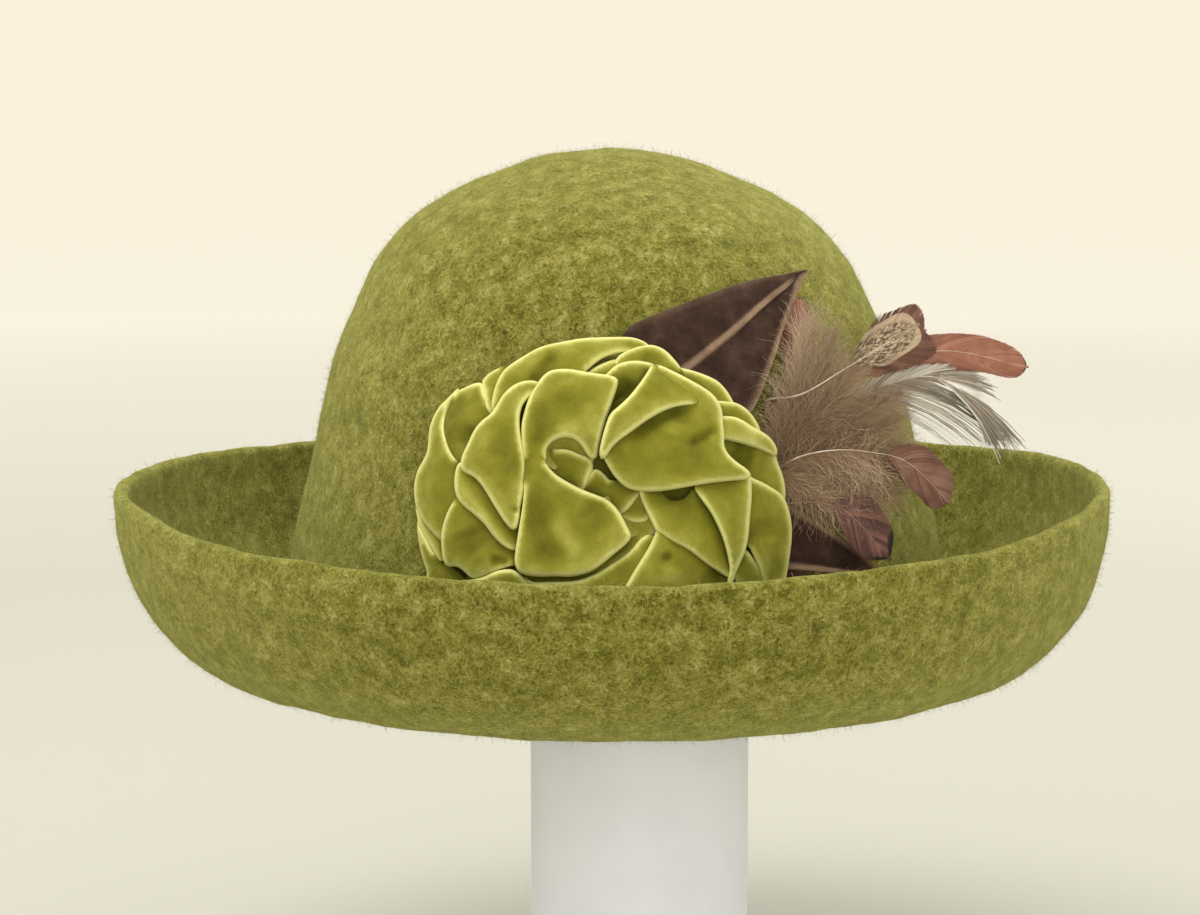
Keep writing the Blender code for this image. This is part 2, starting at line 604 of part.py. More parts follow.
def vane_swell(share, blunt):
    """How wide a vane is at a share of its length: it opens to its full width and closes in a round tip."""
    opening = math.sin(math.pi / 2 * min(share / 0.5, 1.0))
    closing = max(share - 0.5, 0.0) / 0.5
    return opening * (1 - closing ** (2 + 4 * blunt)) ** 0.5


def build_feather(feather):
    """A quill that starts on the felt under the rosette and carries a flat vane with cupped edges."""
    marks = [off_crown_row(row) for row in feather["spine"]]
    axis = Vector((-HAT_SHIFT, 0.0, 0.0))
    rings = []
    for i in range(FEATHER_STEPS + 1):
        share = i / FEATHER_STEPS
        place = curve_point(marks, share)
        along = (curve_point(marks, min(share + 0.02, 1.0)) - curve_point(marks, max(share - 0.02, 0.0))).normalized()
        out = (place - axis) * Vector((1.0, 1.0, 0.0))
        side = along.cross(out).normalized()
        out = side.cross(along).normalized()
        swell = vane_swell(max((share - feather["start"]) / (1 - feather["start"]), 0.0), feather["blunt"])
        quill = QUILL_WIDTH / 2 * (1 - 0.5 * share)
        width = quill + feather["vane"] * swell
        half = QUILL_THICKNESS / 2 * (1 - 0.4 * share)
        cup = VANE_CUP * feather["vane"] * swell
        across = (-width, -quill, quill, width, quill, -quill)
        lifts = (-cup, half, half, -cup, -half, -half)
        rings.append([place + side * a + out * b for a, b in zip(across, lifts)])
    add_object(feather["name"], lofted(rings), feather["colour"], 40.0)


def lock_solid(lock, number):
    """One lock of down, thickest in its middle, as a closed spindle from the bud to its tip."""
    rise, reach = math.radians(lock["rise"]), lock["length"] * DOWN_REACH
    start = DOWN_ROOT["up"] * CROWN_HEIGHT
    rings = []
    for i in range(LOCK_STEPS + 1):
        share = i / LOCK_STEPS
        turn, height = walked(DOWN_ROOT["turn"], start, math.cos(rise) * reach * share, math.sin(rise) * reach * share)
        off = DOWN_ROOT["off"] + (lock["off"] - DOWN_ROOT["off"]) * share
        swell = 0.25 + 0.75 * math.sin(math.pi * min(share * 0.9 + 0.1, 1.0))
        width, half = lock["width"] * DOWN_REACH * swell, DOWN_THICKNESS / 2 * swell
        ring = []
        for corner in range(6):
            angle = math.tau * corner / 6
            across, lift = math.cos(angle) * width, math.sin(angle) * half
            right, up = -math.sin(rise) * across, math.cos(rise) * across
            side_turn, side_height = walked(turn, height, right, up)
            ring.append(off_crown(side_turn, side_height, off + lift))
        rings.append(ring)
    return add_object(f"lock_{number}", lofted(rings), "down", 60.0)


def build_down_tuft():
    """A bud on the felt with the locks of down fused to it."""
    bm = bmesh.new()
    bmesh.ops.create_icosphere(bm, subdivisions=2, radius=DOWN_BUD)
    bmesh.ops.translate(bm, verts=bm.verts, vec=off_crown_row(DOWN_ROOT))
    bud = add_object("down_tuft", bm, "down", 60.0)
    fuse(bud, [lock_solid(lock, number) for number, lock in enumerate(DOWN_LOCKS)])


for old in list(bpy.data.objects):
    bpy.data.objects.remove(old, do_unlink=True)
build_stand()
build_felt()
build_rosette()
build_leaf("velvet_leaf_upper", UPPER_LEAF_LENGTH, UPPER_LEAF_SECTIONS, UPPER_LEAF_SPINE)
build_leaf("velvet_leaf_lower", LOWER_LEAF_LENGTH, LOWER_LEAF_SECTIONS, LOWER_LEAF_SPINE)
for row in FEATHERS:
    build_feather(row)
build_down_tuft()
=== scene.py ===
import math

import bmesh
import bpy
import numpy as np
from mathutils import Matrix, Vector, geometry, noise


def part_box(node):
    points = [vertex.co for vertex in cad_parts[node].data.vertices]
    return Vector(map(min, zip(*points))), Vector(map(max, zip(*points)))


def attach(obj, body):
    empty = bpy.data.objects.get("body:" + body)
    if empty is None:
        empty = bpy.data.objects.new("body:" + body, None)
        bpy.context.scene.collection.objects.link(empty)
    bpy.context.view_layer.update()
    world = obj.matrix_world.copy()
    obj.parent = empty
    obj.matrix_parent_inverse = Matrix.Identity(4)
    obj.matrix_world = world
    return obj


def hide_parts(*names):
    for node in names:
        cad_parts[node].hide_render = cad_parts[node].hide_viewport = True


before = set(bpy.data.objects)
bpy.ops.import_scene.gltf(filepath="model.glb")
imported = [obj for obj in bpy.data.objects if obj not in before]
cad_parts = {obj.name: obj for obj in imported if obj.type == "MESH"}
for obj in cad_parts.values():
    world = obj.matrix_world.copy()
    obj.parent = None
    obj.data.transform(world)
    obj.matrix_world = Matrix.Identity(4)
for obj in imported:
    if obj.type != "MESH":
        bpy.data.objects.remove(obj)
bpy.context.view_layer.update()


# Stand base.
# A turned MDF disc with an eased upper edge and a shallow socket for the post. It is sprayed with satin white
# furniture paint, and the post drops into the socket.
BASE_RADIUS = 0.080
BASE_THICKNESS = 0.014
BASE_EASING = 0.003
FINE_EASING = 0.0004
SOCKET_RADIUS = 0.0343
SOCKET_DEPTH = 0.006
STAND_FACETS = 144


def linear(hex_colour):
    """The linear RGBA of an sRGB hex colour."""
    shares = [int(hex_colour[i:i + 2], 16) / 255 for i in (1, 3, 5)]
    return (*[s / 12.92 if s <= 0.04045 else ((s + 0.055) / 1.055) ** 2.4 for s in shares], 1.0)


def give(tree, node, inputs):
    """Gives each input of a node a link, a hex colour made linear, or a plain value."""
    for key, value in inputs.items():
        if isinstance(value, bpy.types.NodeSocket):
            tree.links.new(value, node.inputs[key])
        elif isinstance(value, str) and value.startswith("#"):
            node.inputs[key].default_value = linear(value)
        else:
            node.inputs[key].default_value = value


def add_node(tree, kind, inputs=None, **settings):
    """Adds a node to a tree with its settings, and gives each input a value or a link."""
    made = tree.nodes.new(kind)
    for name, value in settings.items():
        setattr(made, name, value)
    give(tree, made, inputs or {})
    return made


def colour_stops(ramp_node, stops):
    """Fills a colour ramp from rows of place and hex colour."""
    ramp = ramp_node.color_ramp
    while len(ramp.elements) < len(stops):
        ramp.elements.new(1.0)
    for element, (place, colour) in zip(ramp.elements, stops):
        element.position = place
        element.color = linear(colour)
    return ramp_node


def new_material(name):
    """A material with a bare Principled shader, and the tree's handles."""
    material = bpy.data.materials.new(name)
    material.use_nodes = True
    return material, material.node_tree, material.node_tree.nodes["Principled BSDF"]


def satin_paint():
    # Sprayed satin furniture paint on MDF: even white, a faint orange peel, and the odd grubby finger mark.
    material, tree, shader = new_material("satin_white_spray_paint")
    place = add_node(tree, "ShaderNodeTexCoord").outputs["Object"]
    smudge = add_node(tree, "ShaderNodeTexNoise", {"Vector": place, "Scale": 28.0, "Detail": 4.0})
    tint = colour_stops(add_node(tree, "ShaderNodeValToRGB", {"Fac": smudge.outputs["Fac"]}),
                        ((0.30, "#e0e2e8"), (0.52, "#e7e9ef"), (0.75, "#ebecf2")))
    peel = add_node(tree, "ShaderNodeTexNoise", {"Vector": place, "Scale": 900.0, "Detail": 2.0})
    bump = add_node(tree, "ShaderNodeBump",
                    {"Height": peel.outputs["Fac"], "Distance": 0.00006, "Strength": 0.6})
    gloss = add_node(tree, "ShaderNodeMapRange", {"Value": smudge.outputs["Fac"], 3: 0.42, 4: 0.58})
    give(tree, shader, {"Base Color": tint.outputs["Color"], "Normal": bump.outputs["Normal"],
                        "Roughness": gloss.outputs["Result"], "IOR": 1.50})
    return material


def place_mesh(name, points, faces, material, smooth_angle=40.0):
    """Makes an object at the origin from points in metres and faces, with soft shading and one material."""
    mesh = bpy.data.meshes.new(name)
    mesh.from_pydata([tuple(p) for p in points], [], [tuple(int(i) for i in f) for f in faces])
    mesh.shade_smooth()
    mesh.set_sharp_from_angle(angle=math.radians(smooth_angle))
    mesh.materials.append(material)
    piece = bpy.data.objects.new(name, mesh)
    bpy.context.scene.collection.objects.link(piece)
    return piece


def spun(outline, facets):
    """Points and outward faces of an outline of radii and heights, spun round the upright axis."""
    turns = [math.tau * i / facets for i in range(facets)]
    points, rings = [], []
    for radius, height in outline:
        if radius < 1e-9:
            rings.append([len(points)] * facets)
            points.append((0.0, 0.0, height))
        else:
            rings.append(list(range(len(points), len(points) + facets)))
            points += [(radius * math.cos(t), radius * math.sin(t), height) for t in turns]
    faces = []
    for upper, lower in zip(rings, rings[1:]):
        for i in range(facets):
            j = (i + 1) % facets
            corners = (upper[i], lower[i], lower[j], upper[j])
            faces.append(tuple(dict.fromkeys(corners)))
    return points, faces


def eased_corner(radius, height, easing, steps=5):
    """The rounded outer corner of a turned piece, from its top face round to its side."""
    turns = [math.pi / 2 * i / steps for i in range(steps + 1)]
    return [(radius - easing * (1 - math.sin(t)), height - easing * (1 - math.cos(t))) for t in turns]


paint = satin_paint()
socket_floor = BASE_THICKNESS - SOCKET_DEPTH
base_outline = [
    (0.0, socket_floor),
    (SOCKET_RADIUS, socket_floor),
    *eased_corner(SOCKET_RADIUS, BASE_THICKNESS, -FINE_EASING, 3)[::-1],
    *eased_corner(BASE_RADIUS, BASE_THICKNESS, BASE_EASING),
    (BASE_RADIUS, 0.0),
    (BASE_RADIUS - FINE_EASING, FINE_EASING),
    (0.0, 0.0),
]
stand_base = place_mesh("turned_base", *spun(base_outline, STAND_FACETS), paint)
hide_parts("stand_base")
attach(stand_base, "root")


# Stand post.
# A straight round post with a low domed end, which stands loose in the base's socket and carries the crown
# from inside. It has the base's satin white paint.
POST_RADIUS = 0.034
POST_DOME = 0.012
POST_GAP = 0.0003
# Heights at which the post's long side is parted.
POST_ROWS = (0.20, 0.11)
DOME_STEPS = 16
STAND_HEIGHT = 0.280

post_foot = socket_floor + POST_GAP
dome_ball = (POST_RADIUS ** 2 + POST_DOME ** 2) / (2 * POST_DOME)
dome_rows = [POST_RADIUS * i / DOME_STEPS for i in range(DOME_STEPS + 1)]
post_outline = [
    *[(r, STAND_HEIGHT - dome_ball + math.sqrt(dome_ball ** 2 - r * r)) for r in dome_rows],
    *[(POST_RADIUS, height) for height in POST_ROWS],
    (POST_RADIUS, post_foot + FINE_EASING),
    (POST_RADIUS - FINE_EASING, post_foot),
    (0.0, post_foot),
]
stand_post = place_mesh("domed_post", *spun(post_outline, STAND_FACETS), paint, smooth_angle=30.0)
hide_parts("stand_post")
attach(stand_post, "root")


# Felt hat body.
# One shell of hand-fulled wool, 4.5 mm thick, blocked into a round crown with a deep brim that is turned up.
# The edge is left raw and rounded, and the surface is lumpy and softly felted. It sits on the post's end.
FELT_THICKNESS = 0.0045
CROWN_HEIGHT = 0.1513
CROWN_RADIUS = 0.0935
FOLD_RADIUS = 0.1165
RIM_RADIUS = 0.1478
BRIM_DEPTH = 0.0475
HAT_SHIFT = 0.0072
CROWN_LEAN = 0.0025
FELT_COLUMNS = 288
FELT_STEP = 0.0019
LIP_STEPS = 10
# The fold between crown and brim lies between these two radii.
FOLD_ZONE = (0.09, 0.12)
# Lumps of the felt: width and height.
FELT_LUMPS = ((0.016, 0.0006), (0.005, 0.00028))
# Middle of the felt on the crown, from the tip down: height and radius as shares of the crown's.
CROWN_CURVE = (
    (1.000, 0.000), (0.990, 0.180), (0.960, 0.340), (0.896, 0.565), (0.813, 0.714), (0.717, 0.804),
    (0.587, 0.894), (0.454, 0.950), (0.326, 1.000), (0.236, 1.033), (0.127, 1.067), (0.048, 1.107),
)
# Middle of the felt on the brim: share of the way from fold to rim, and height as a share of its depth.
BRIM_CURVE = (
    (-0.190, 0.020), (0.000, 0.000), (0.250, 0.040), (0.463, 0.126),
    (0.680, 0.265), (0.840, 0.450), (0.974, 0.767), (1.000, 1.000),
)
# How the soft rim wanders: turn in degrees from the front towards +X, lift as a share of the brim's depth,
# and reach as a share of the rim's radius.
RIM_WANDER = (
    (0, -0.082, -0.014), (40, -0.030, -0.004), (75, 0.070, 0.003), (105, 0.070, 0.003),
    (140, -0.010, 0.006), (180, -0.075, -0.018), (220, -0.005, 0.006), (255, 0.040, 0.003),
    (285, 0.055, 0.002), (320, -0.035, -0.004),
)
# The brim's left side leans out further, by this much from a little over half its depth up to the rim.
LEFT_FLARE = 0.0027
FLARE_RISE = 1.8

fold_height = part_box("felt_hat")[1][2] - CROWN_HEIGHT - FELT_THICKNESS / 2


def spline(rows, count):
    """Points at even steps of a smooth curve through rows of numbers, as an array."""
    rows = np.array(rows, dtype=float)
    padded = np.vstack([2 * rows[0] - rows[1], rows, 2 * rows[-1] - rows[-2]])
    share = np.linspace(0, len(rows) - 1, count)
    i = np.minimum(share.astype(int), len(rows) - 2)
    f = (share - i)[:, None]
    a, b, c, d = padded[i], padded[i + 1], padded[i + 2], padded[i + 3]
    return b + 0.5 * ((c - a) * f + (2 * a - 5 * b + 4 * c - d) * f ** 2 + (3 * b - a - 3 * c + d) * f ** 3)


def evened(points, step):
    """A line's points moved to even steps of about a length along it."""
    lengths = np.concatenate([[0], np.cumsum(np.linalg.norm(np.diff(points, axis=0), axis=1))])
    marks = np.linspace(0, lengths[-1], max(int(round(lengths[-1] / step)), 2) + 1)
    return np.stack([np.interp(marks, lengths, points[:, k]) for k in range(points.shape[1])], axis=1)


def moved_sideways(points, distance):
    """A line moved to its left, which is outwards on the crown and into the trough of the brim."""
    steps = np.gradient(points, axis=0)
    steps[0] = (1.0, 0.0)
    sides = np.stack([-steps[:, 1], steps[:, 0]], axis=1)
    return points + sides / np.linalg.norm(sides, axis=1)[:, None] * distance


def axis_shift(height):
    """How far the hat's axis lies towards -X at a height over the fold."""
    return HAT_SHIFT + CROWN_LEAN * np.maximum(height / CROWN_HEIGHT, 0.0) ** 2


def wander(column, turn):
    """The eased value of a column of RIM_WANDER at turns in degrees."""
    rows = np.array([*RIM_WANDER, (360, *RIM_WANDER[0][1:])])
    turn = np.mod(turn, 360.0)
    i = np.clip(np.searchsorted(rows[:, 0], turn, side="right") - 1, 0, len(rows) - 2)
    f = (turn - rows[i, 0]) / (rows[i + 1, 0] - rows[i, 0])
    f = f * f * (3 - 2 * f)
    return rows[i, column] * (1 - f) + rows[i + 1, column] * f


def hat_place(turn, height, radius):
    """Places at turns from the front towards +X, heights over the fold and radii from the hat's axis."""
    angle = np.radians(turn)
    return np.stack([
        radius * np.sin(angle) - axis_shift(height),
        -radius * np.cos(angle) + 0 * height,
        fold_height + height + 0 * angle,
    ], axis=-1)


crown_line = [(out * CROWN_RADIUS, up * CROWN_HEIGHT) for up, out in CROWN_CURVE]
brim_line = [(FOLD_RADIUS + out * (RIM_RADIUS - FOLD_RADIUS), up * BRIM_DEPTH) for out, up in BRIM_CURVE]
felt_line = evened(spline(crown_line + brim_line, 400), FELT_STEP)
outer_line = moved_sideways(felt_line, FELT_THICKNESS / 2)
inner_line = moved_sideways(felt_line, -FELT_THICKNESS / 2)


def felt_shell():
    """The closed shell: outer face from the tip, round lip, and inner face back to the tip.

    Gives its points, its faces, and how thick the nap stands at each point.
    """
    end = felt_line[-1]
    along = (felt_line[-1] - felt_line[-2]) / np.linalg.norm(felt_line[-1] - felt_line[-2])
    side = np.array((-along[1], along[0]))
    turns = np.linspace(0, math.pi, LIP_STEPS + 1)[1:-1]
    lip = [end + (side * math.cos(t) + along * math.sin(t)) * FELT_THICKNESS / 2 for t in turns]
    brim_start = int(np.argmin(np.where(felt_line[:, 0] < FOLD_ZONE[0], np.inf, felt_line[:, 1])))
    crown_inside = inner_line[:brim_start:2]
    profile = np.vstack([outer_line, lip, inner_line[brim_start:][::-1], crown_inside[::-1]])
    profile[0, 0] = profile[-1, 0] = 0.0
    count = len(profile)
    turn = np.arange(FELT_COLUMNS) * 360.0 / FELT_COLUMNS
    radius = np.repeat(profile[:, :1], FELT_COLUMNS, 1)
    height = np.repeat(profile[:, 1:], FELT_COLUMNS, 1)
    up = np.where(radius > FOLD_RADIUS, np.maximum(height / BRIM_DEPTH, 0.0), 0.0)
    height = height + wander(1, turn)[None, :] * BRIM_DEPTH * up
    leftwards = np.maximum(-np.sin(np.radians(turn)), 0.0) ** 4
    radius = radius + wander(2, turn)[None, :] * RIM_RADIUS * up
    radius = radius + LEFT_FLARE * leftwards[None, :] * np.minimum(FLARE_RISE * up, 1.0)
    grid = hat_place(np.repeat(turn[None, :], count, 0), height, radius)
    # Row i of the grid is a ring, and the two end rings are single points at the crown's tip.
    points = [grid[0, 0], *grid[1:-1].reshape(-1, 3), grid[-1, 0]]
    last = len(points) - 1
    faces = []
    for j in range(FELT_COLUMNS):
        k = (j + 1) % FELT_COLUMNS
        faces.append((0, 1 + j, 1 + k))
        tail = 1 + (count - 3) * FELT_COLUMNS
        faces.append((tail + k, tail + j, last))
        for i in range(count - 3):
            row, below = 1 + i * FELT_COLUMNS, 1 + (i + 1) * FELT_COLUMNS
            faces.append((row + j, below + j, below + k, row + k))
    # The nap is thin inside the crown, where the felt was pressed on the block.
    thickness = np.ones(len(points))
    thin_from = 1 + (count - 2 - int(len(crown_inside) * 0.97)) * FELT_COLUMNS
    thickness[thin_from:] = 0.12
    return np.array(points), faces, thickness


def lumpy(points, normals, rows):
    """Points moved along their normals by soft noise. A row is a lump's width in metres and its height."""
    moved = np.array(points)
    for width, depth in rows:
        push = np.array([noise.noise(Vector(p) / width) for p in points])
        moved += normals * (push * depth)[:, None]
    return moved


def wool_colours(tree, tone):
    """The heathered mix of a green wool, from dyed-dark fibres to pale ones."""
    return colour_stops(add_node(tree, "ShaderNodeValToRGB", {"Fac": tone}), (
        (0.14, "#403e0c"), (0.36, "#605e19"), (0.50, "#7a772e"), (0.64, "#928d46"), (0.86, "#b8b07a"),
    ))


def fulled_wool():
    # Hand-fulled wool felt: fibres of many greens matted together, so it is mottled at 3 to 8 mm and flecked
    # at the size of a fibre. It is quite matt, with a soft sheen where fibres stand off. A fibre is too thin
    # to show, so the flecks are drawn at 0.7 mm.
    material, tree, shader = new_material("fulled_wool_felt")
    place = add_node(tree, "ShaderNodeTexCoord").outputs["Object"]
    patch = add_node(tree, "ShaderNodeTexNoise",
                     {"Vector": place, "Scale": 190.0, "Detail": 3.0, "Roughness": 0.65})
    swirl = add_node(tree, "ShaderNodeTexNoise",
                     {"Vector": place, "Scale": 560.0, "Detail": 4.0, "Roughness": 0.72, "Distortion": 1.6})
    fleck = add_node(tree, "ShaderNodeTexNoise",
                     {"Vector": place, "Scale": 1500.0, "Detail": 3.0, "Roughness": 0.75, "Distortion": 0.8})
    broad = add_node(tree, "ShaderNodeMath", {0: patch.outputs["Fac"], 1: 0.28}, operation="MULTIPLY")
    middle = add_node(tree, "ShaderNodeMath", {0: swirl.outputs["Fac"], 1: 0.41, 2: broad.outputs[0]},
                      operation="MULTIPLY_ADD")
    tone = add_node(tree, "ShaderNodeMath", {0: fleck.outputs["Fac"], 1: 0.20, 2: middle.outputs[0]},
                    operation="MULTIPLY_ADD")
    speck = add_node(tree, "ShaderNodeTexNoise", {"Vector": place, "Scale": 780.0, "Detail": 1.0})
    dark = add_node(tree, "ShaderNodeMapRange",
                    {"Value": speck.outputs["Fac"], 1: 0.36, 2: 0.30, 3: 0.0, 4: -0.07})
    tone = add_node(tree, "ShaderNodeMath", {0: tone.outputs[0], 1: dark.outputs["Result"]}, operation="ADD")
    spread = add_node(tree, "ShaderNodeMapRange",
                      {"Value": tone.outputs[0], 1: 0.270, 2: 0.625, 3: 0.0, 4: 1.0})
    colour = wool_colours(tree, spread.outputs["Result"])
    relief = add_node(tree, "ShaderNodeMath", {0: swirl.outputs["Fac"], 1: 0.65, 2: fleck.outputs["Fac"]},
                      operation="MULTIPLY_ADD")
    bump = add_node(tree, "ShaderNodeBump",
                    {"Height": relief.outputs[0], "Distance": 0.0009, "Strength": 0.65})
    give(tree, shader, {
        "Base Color": colour.outputs["Color"], "Normal": bump.outputs["Normal"],
        "Roughness": 0.95, "Specular IOR Level": 0.15,
        "Sheen Weight": 0.75, "Sheen Roughness": 0.42, "Sheen Tint": "#c9cb78",
    })
    return material


def vertex_normals(piece):
    """The normals at a piece's points, as an array."""
    normals = np.empty(len(piece.data.vertices) * 3)
    piece.data.vertices.foreach_get("normal", normals)
    return normals.reshape(-1, 3)


def put_points(piece, points):
    """Moves a piece's points to the rows of an array."""
    piece.data.vertices.foreach_set("co", np.asarray(points, dtype=np.float32).ravel())
    piece.data.update()


def put_attribute(piece, name, values):
    """Stores a number at each of a piece's points."""
    layer = piece.data.attributes.get(name) or piece.data.attributes.new(name, "FLOAT", "POINT")
    layer.data.foreach_set("value", np.asarray(values, dtype=np.float32))


felt = fulled_wool()
shell_points, shell_faces, nap_thickness = felt_shell()
felt_body = place_mesh("felt_body", shell_points, shell_faces, felt, smooth_angle=80.0)
put_points(felt_body, lumpy(shell_points, vertex_normals(felt_body), FELT_LUMPS))
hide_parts("felt_hat")
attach(felt_body, "root")


# Wool nap.
# Loose fibre ends that stand off the felt all over. Most lie along it in short curls, and a few stick out and
# give the hat its soft edge. They are part of the same wool, pulled up as it was fulled.
NAP_LENGTH = 0.0022
NAP_WIDTH = 0.00005
NAP_LIFT = 0.0009
NAP_SINK = 0.0002
# A fibre's least and greatest tilt in radians, before it is cubed, and its least and greatest size.
NAP_TILT = (-1.0, 0.12)
NAP_SIZES = (0.45, 1.35)
# Fibres to a square metre of felt.
CROWN_FIBRES = 450000
BRIM_FIBRES = 368000
# The crown's nap ends this far inside the fold's radius, and takes in all that is higher than the brim's rim.
CROWN_MARGIN = 0.006
RIM_TOP = 0.062


def socket_in(tree, name, kind):
    """Adds a named input to a node tree."""
    tree.interface.new_socket(name=name, in_out="INPUT", socket_type=kind)


def nap_tree(material):
    """Scatters curled fibre ends over a mesh by its "nap" attribute, each with its own tone."""
    tree = bpy.data.node_groups.new("wool_nap", "GeometryNodeTree")
    socket_in(tree, "Felt", "NodeSocketGeometry")
    for name in ("Fibres per m2", "Length", "Width", "Lift"):
        socket_in(tree, name, "NodeSocketFloat")
    socket_in(tree, "Seed", "NodeSocketInt")
    tree.interface.new_socket(name="Nap", in_out="OUTPUT", socket_type="NodeSocketGeometry")
    given = add_node(tree, "NodeGroupInput").outputs
    nap = add_node(tree, "GeometryNodeInputNamedAttribute", {"Name": "nap"}, data_type="FLOAT")
    density = add_node(tree, "ShaderNodeMath", {0: nap.outputs["Attribute"], 1: given["Fibres per m2"]},
                       operation="MULTIPLY")
    scatter = add_node(tree, "GeometryNodeDistributePointsOnFaces",
                       {"Mesh": given["Felt"], "Density": density.outputs[0], "Seed": given["Seed"]})
    half = add_node(tree, "ShaderNodeMath", {0: given["Length"], 1: 0.5}, operation="MULTIPLY")
    sway = add_node(tree, "ShaderNodeMath", {0: given["Length"], 1: 0.22}, operation="MULTIPLY")
    middle = add_node(tree, "ShaderNodeCombineXYZ",
                      {"X": half.outputs[0], "Y": sway.outputs[0], "Z": given["Lift"]})
    low = add_node(tree, "ShaderNodeMath", {0: given["Lift"], 1: 0.35}, operation="MULTIPLY")
    tip = add_node(tree, "ShaderNodeCombineXYZ", {"X": given["Length"], "Z": low.outputs[0]})
    strand = add_node(tree, "GeometryNodeCurveQuadraticBezier",
                      {"Resolution": 2, "Middle": middle.outputs[0], "End": tip.outputs[0],
                       "Start": (0.0, 0.0, -NAP_SINK)})
    along = add_node(tree, "GeometryNodeSplineParameter")
    taper = add_node(tree, "ShaderNodeMapRange", {"Value": along.outputs["Factor"], 3: 1.0, 4: 0.25})
    strand = add_node(tree, "GeometryNodeSetCurveRadius",
                      {"Curve": strand.outputs["Curve"], "Radius": taper.outputs["Result"]})
    near = add_node(tree, "ShaderNodeMath", {0: given["Width"], 1: -0.5}, operation="MULTIPLY")
    far = add_node(tree, "ShaderNodeMath", {0: given["Width"], 1: 0.5}, operation="MULTIPLY")
    strip = add_node(tree, "GeometryNodeCurvePrimitiveLine", {
        "Start": add_node(tree, "ShaderNodeCombineXYZ", {"X": near.outputs[0]}).outputs[0],
        "End": add_node(tree, "ShaderNodeCombineXYZ", {"X": far.outputs[0]}).outputs[0],
    })
    ribbon = add_node(tree, "GeometryNodeCurveToMesh",
                      {"Curve": strand.outputs["Curve"], "Profile Curve": strip.outputs["Curve"]})
    seed = given["Seed"]
    spin = add_node(tree, "FunctionNodeRandomValue",
                    {"Min": (0, NAP_TILT[0], 0), "Max": (0, NAP_TILT[1], math.tau), "Seed": seed},
                    data_type="FLOAT_VECTOR")
    # The third power of the tilt keeps most fibres low, and lets a few stand.
    part = add_node(tree, "ShaderNodeSeparateXYZ", {0: spin.outputs[0]})
    steep = add_node(tree, "ShaderNodeMath", {0: part.outputs["Y"], 1: 3.0}, operation="POWER")
    turned = add_node(tree, "ShaderNodeCombineXYZ", {"Y": steep.outputs[0], "Z": part.outputs["Z"]})
    upright = add_node(tree, "FunctionNodeAlignRotationToVector", {"Vector": scatter.outputs["Normal"]},
                       axis="Z")
    tilted = add_node(tree, "FunctionNodeEulerToRotation", {0: turned.outputs[0]})
    rotate = add_node(tree, "FunctionNodeRotateRotation",
                      {"Rotation": upright.outputs[0], "Rotate By": tilted.outputs[0]},
                      rotation_space="LOCAL")
    size = add_node(tree, "FunctionNodeRandomValue", {2: NAP_SIZES[0], 3: NAP_SIZES[1], "Seed": seed},
                    data_type="FLOAT")
    placed = add_node(tree, "GeometryNodeInstanceOnPoints", {
        "Points": scatter.outputs["Points"], "Instance": ribbon.outputs["Mesh"],
        "Rotation": rotate.outputs[0], "Scale": size.outputs[1]})
    tone = add_node(tree, "FunctionNodeRandomValue", {2: 0.0, 3: 1.0, "Seed": 7}, data_type="FLOAT")
    toned = add_node(tree, "GeometryNodeStoreNamedAttribute",
                     {"Geometry": placed.outputs["Instances"], "Name": "tone", "Value": tone.outputs[1]},
                     data_type="FLOAT", domain="INSTANCE")
    real = add_node(tree, "GeometryNodeRealizeInstances", {"Geometry": toned.outputs["Geometry"]})
    coated = add_node(tree, "GeometryNodeSetMaterial",
                      {"Geometry": real.outputs["Geometry"], "Material": material})
    add_node(tree, "NodeGroupOutput", {0: coated.outputs["Geometry"]})
    return tree


def made_by_nodes(name, source, tree, values):
    """Runs a node tree on a mesh object and gives its result as a new plain mesh object."""
    modifier = source.modifiers.new(name, "NODES")
    modifier.node_group = tree
    for item in tree.interface.items_tree:
        if item.item_type == "SOCKET" and item.name in values:
            modifier[item.identifier] = values[item.name]
    graph = bpy.context.evaluated_depsgraph_get()
    mesh = bpy.data.meshes.new_from_object(source.evaluated_get(graph))
    source.modifiers.remove(modifier)
    mesh.name = name
    piece = bpy.data.objects.new(name, mesh)
    bpy.context.scene.collection.objects.link(piece)
    return piece


def wool_fibre():
    # Single wool fibres: the felt's own greens, each fibre of one tone, and matt, so the nap reads as a haze.
    material, tree, shader = new_material("wool_fibre_ends")
    tone = add_node(tree, "ShaderNodeAttribute", attribute_name="tone")
    colour = colour_stops(add_node(tree, "ShaderNodeValToRGB", {"Fac": tone.outputs["Fac"]}), (
        (0.00, "#66642a"), (0.30, "#807d36"), (0.70, "#9a964e"), (1.00, "#c6bf8a"),
    ))
    give(tree, shader, {"Base Color": colour.outputs["Color"], "Roughness": 0.85, "Specular IOR Level": 0.2,
                        "Sheen Weight": 0.2, "Sheen Tint": "#e0dca8"})
    return material


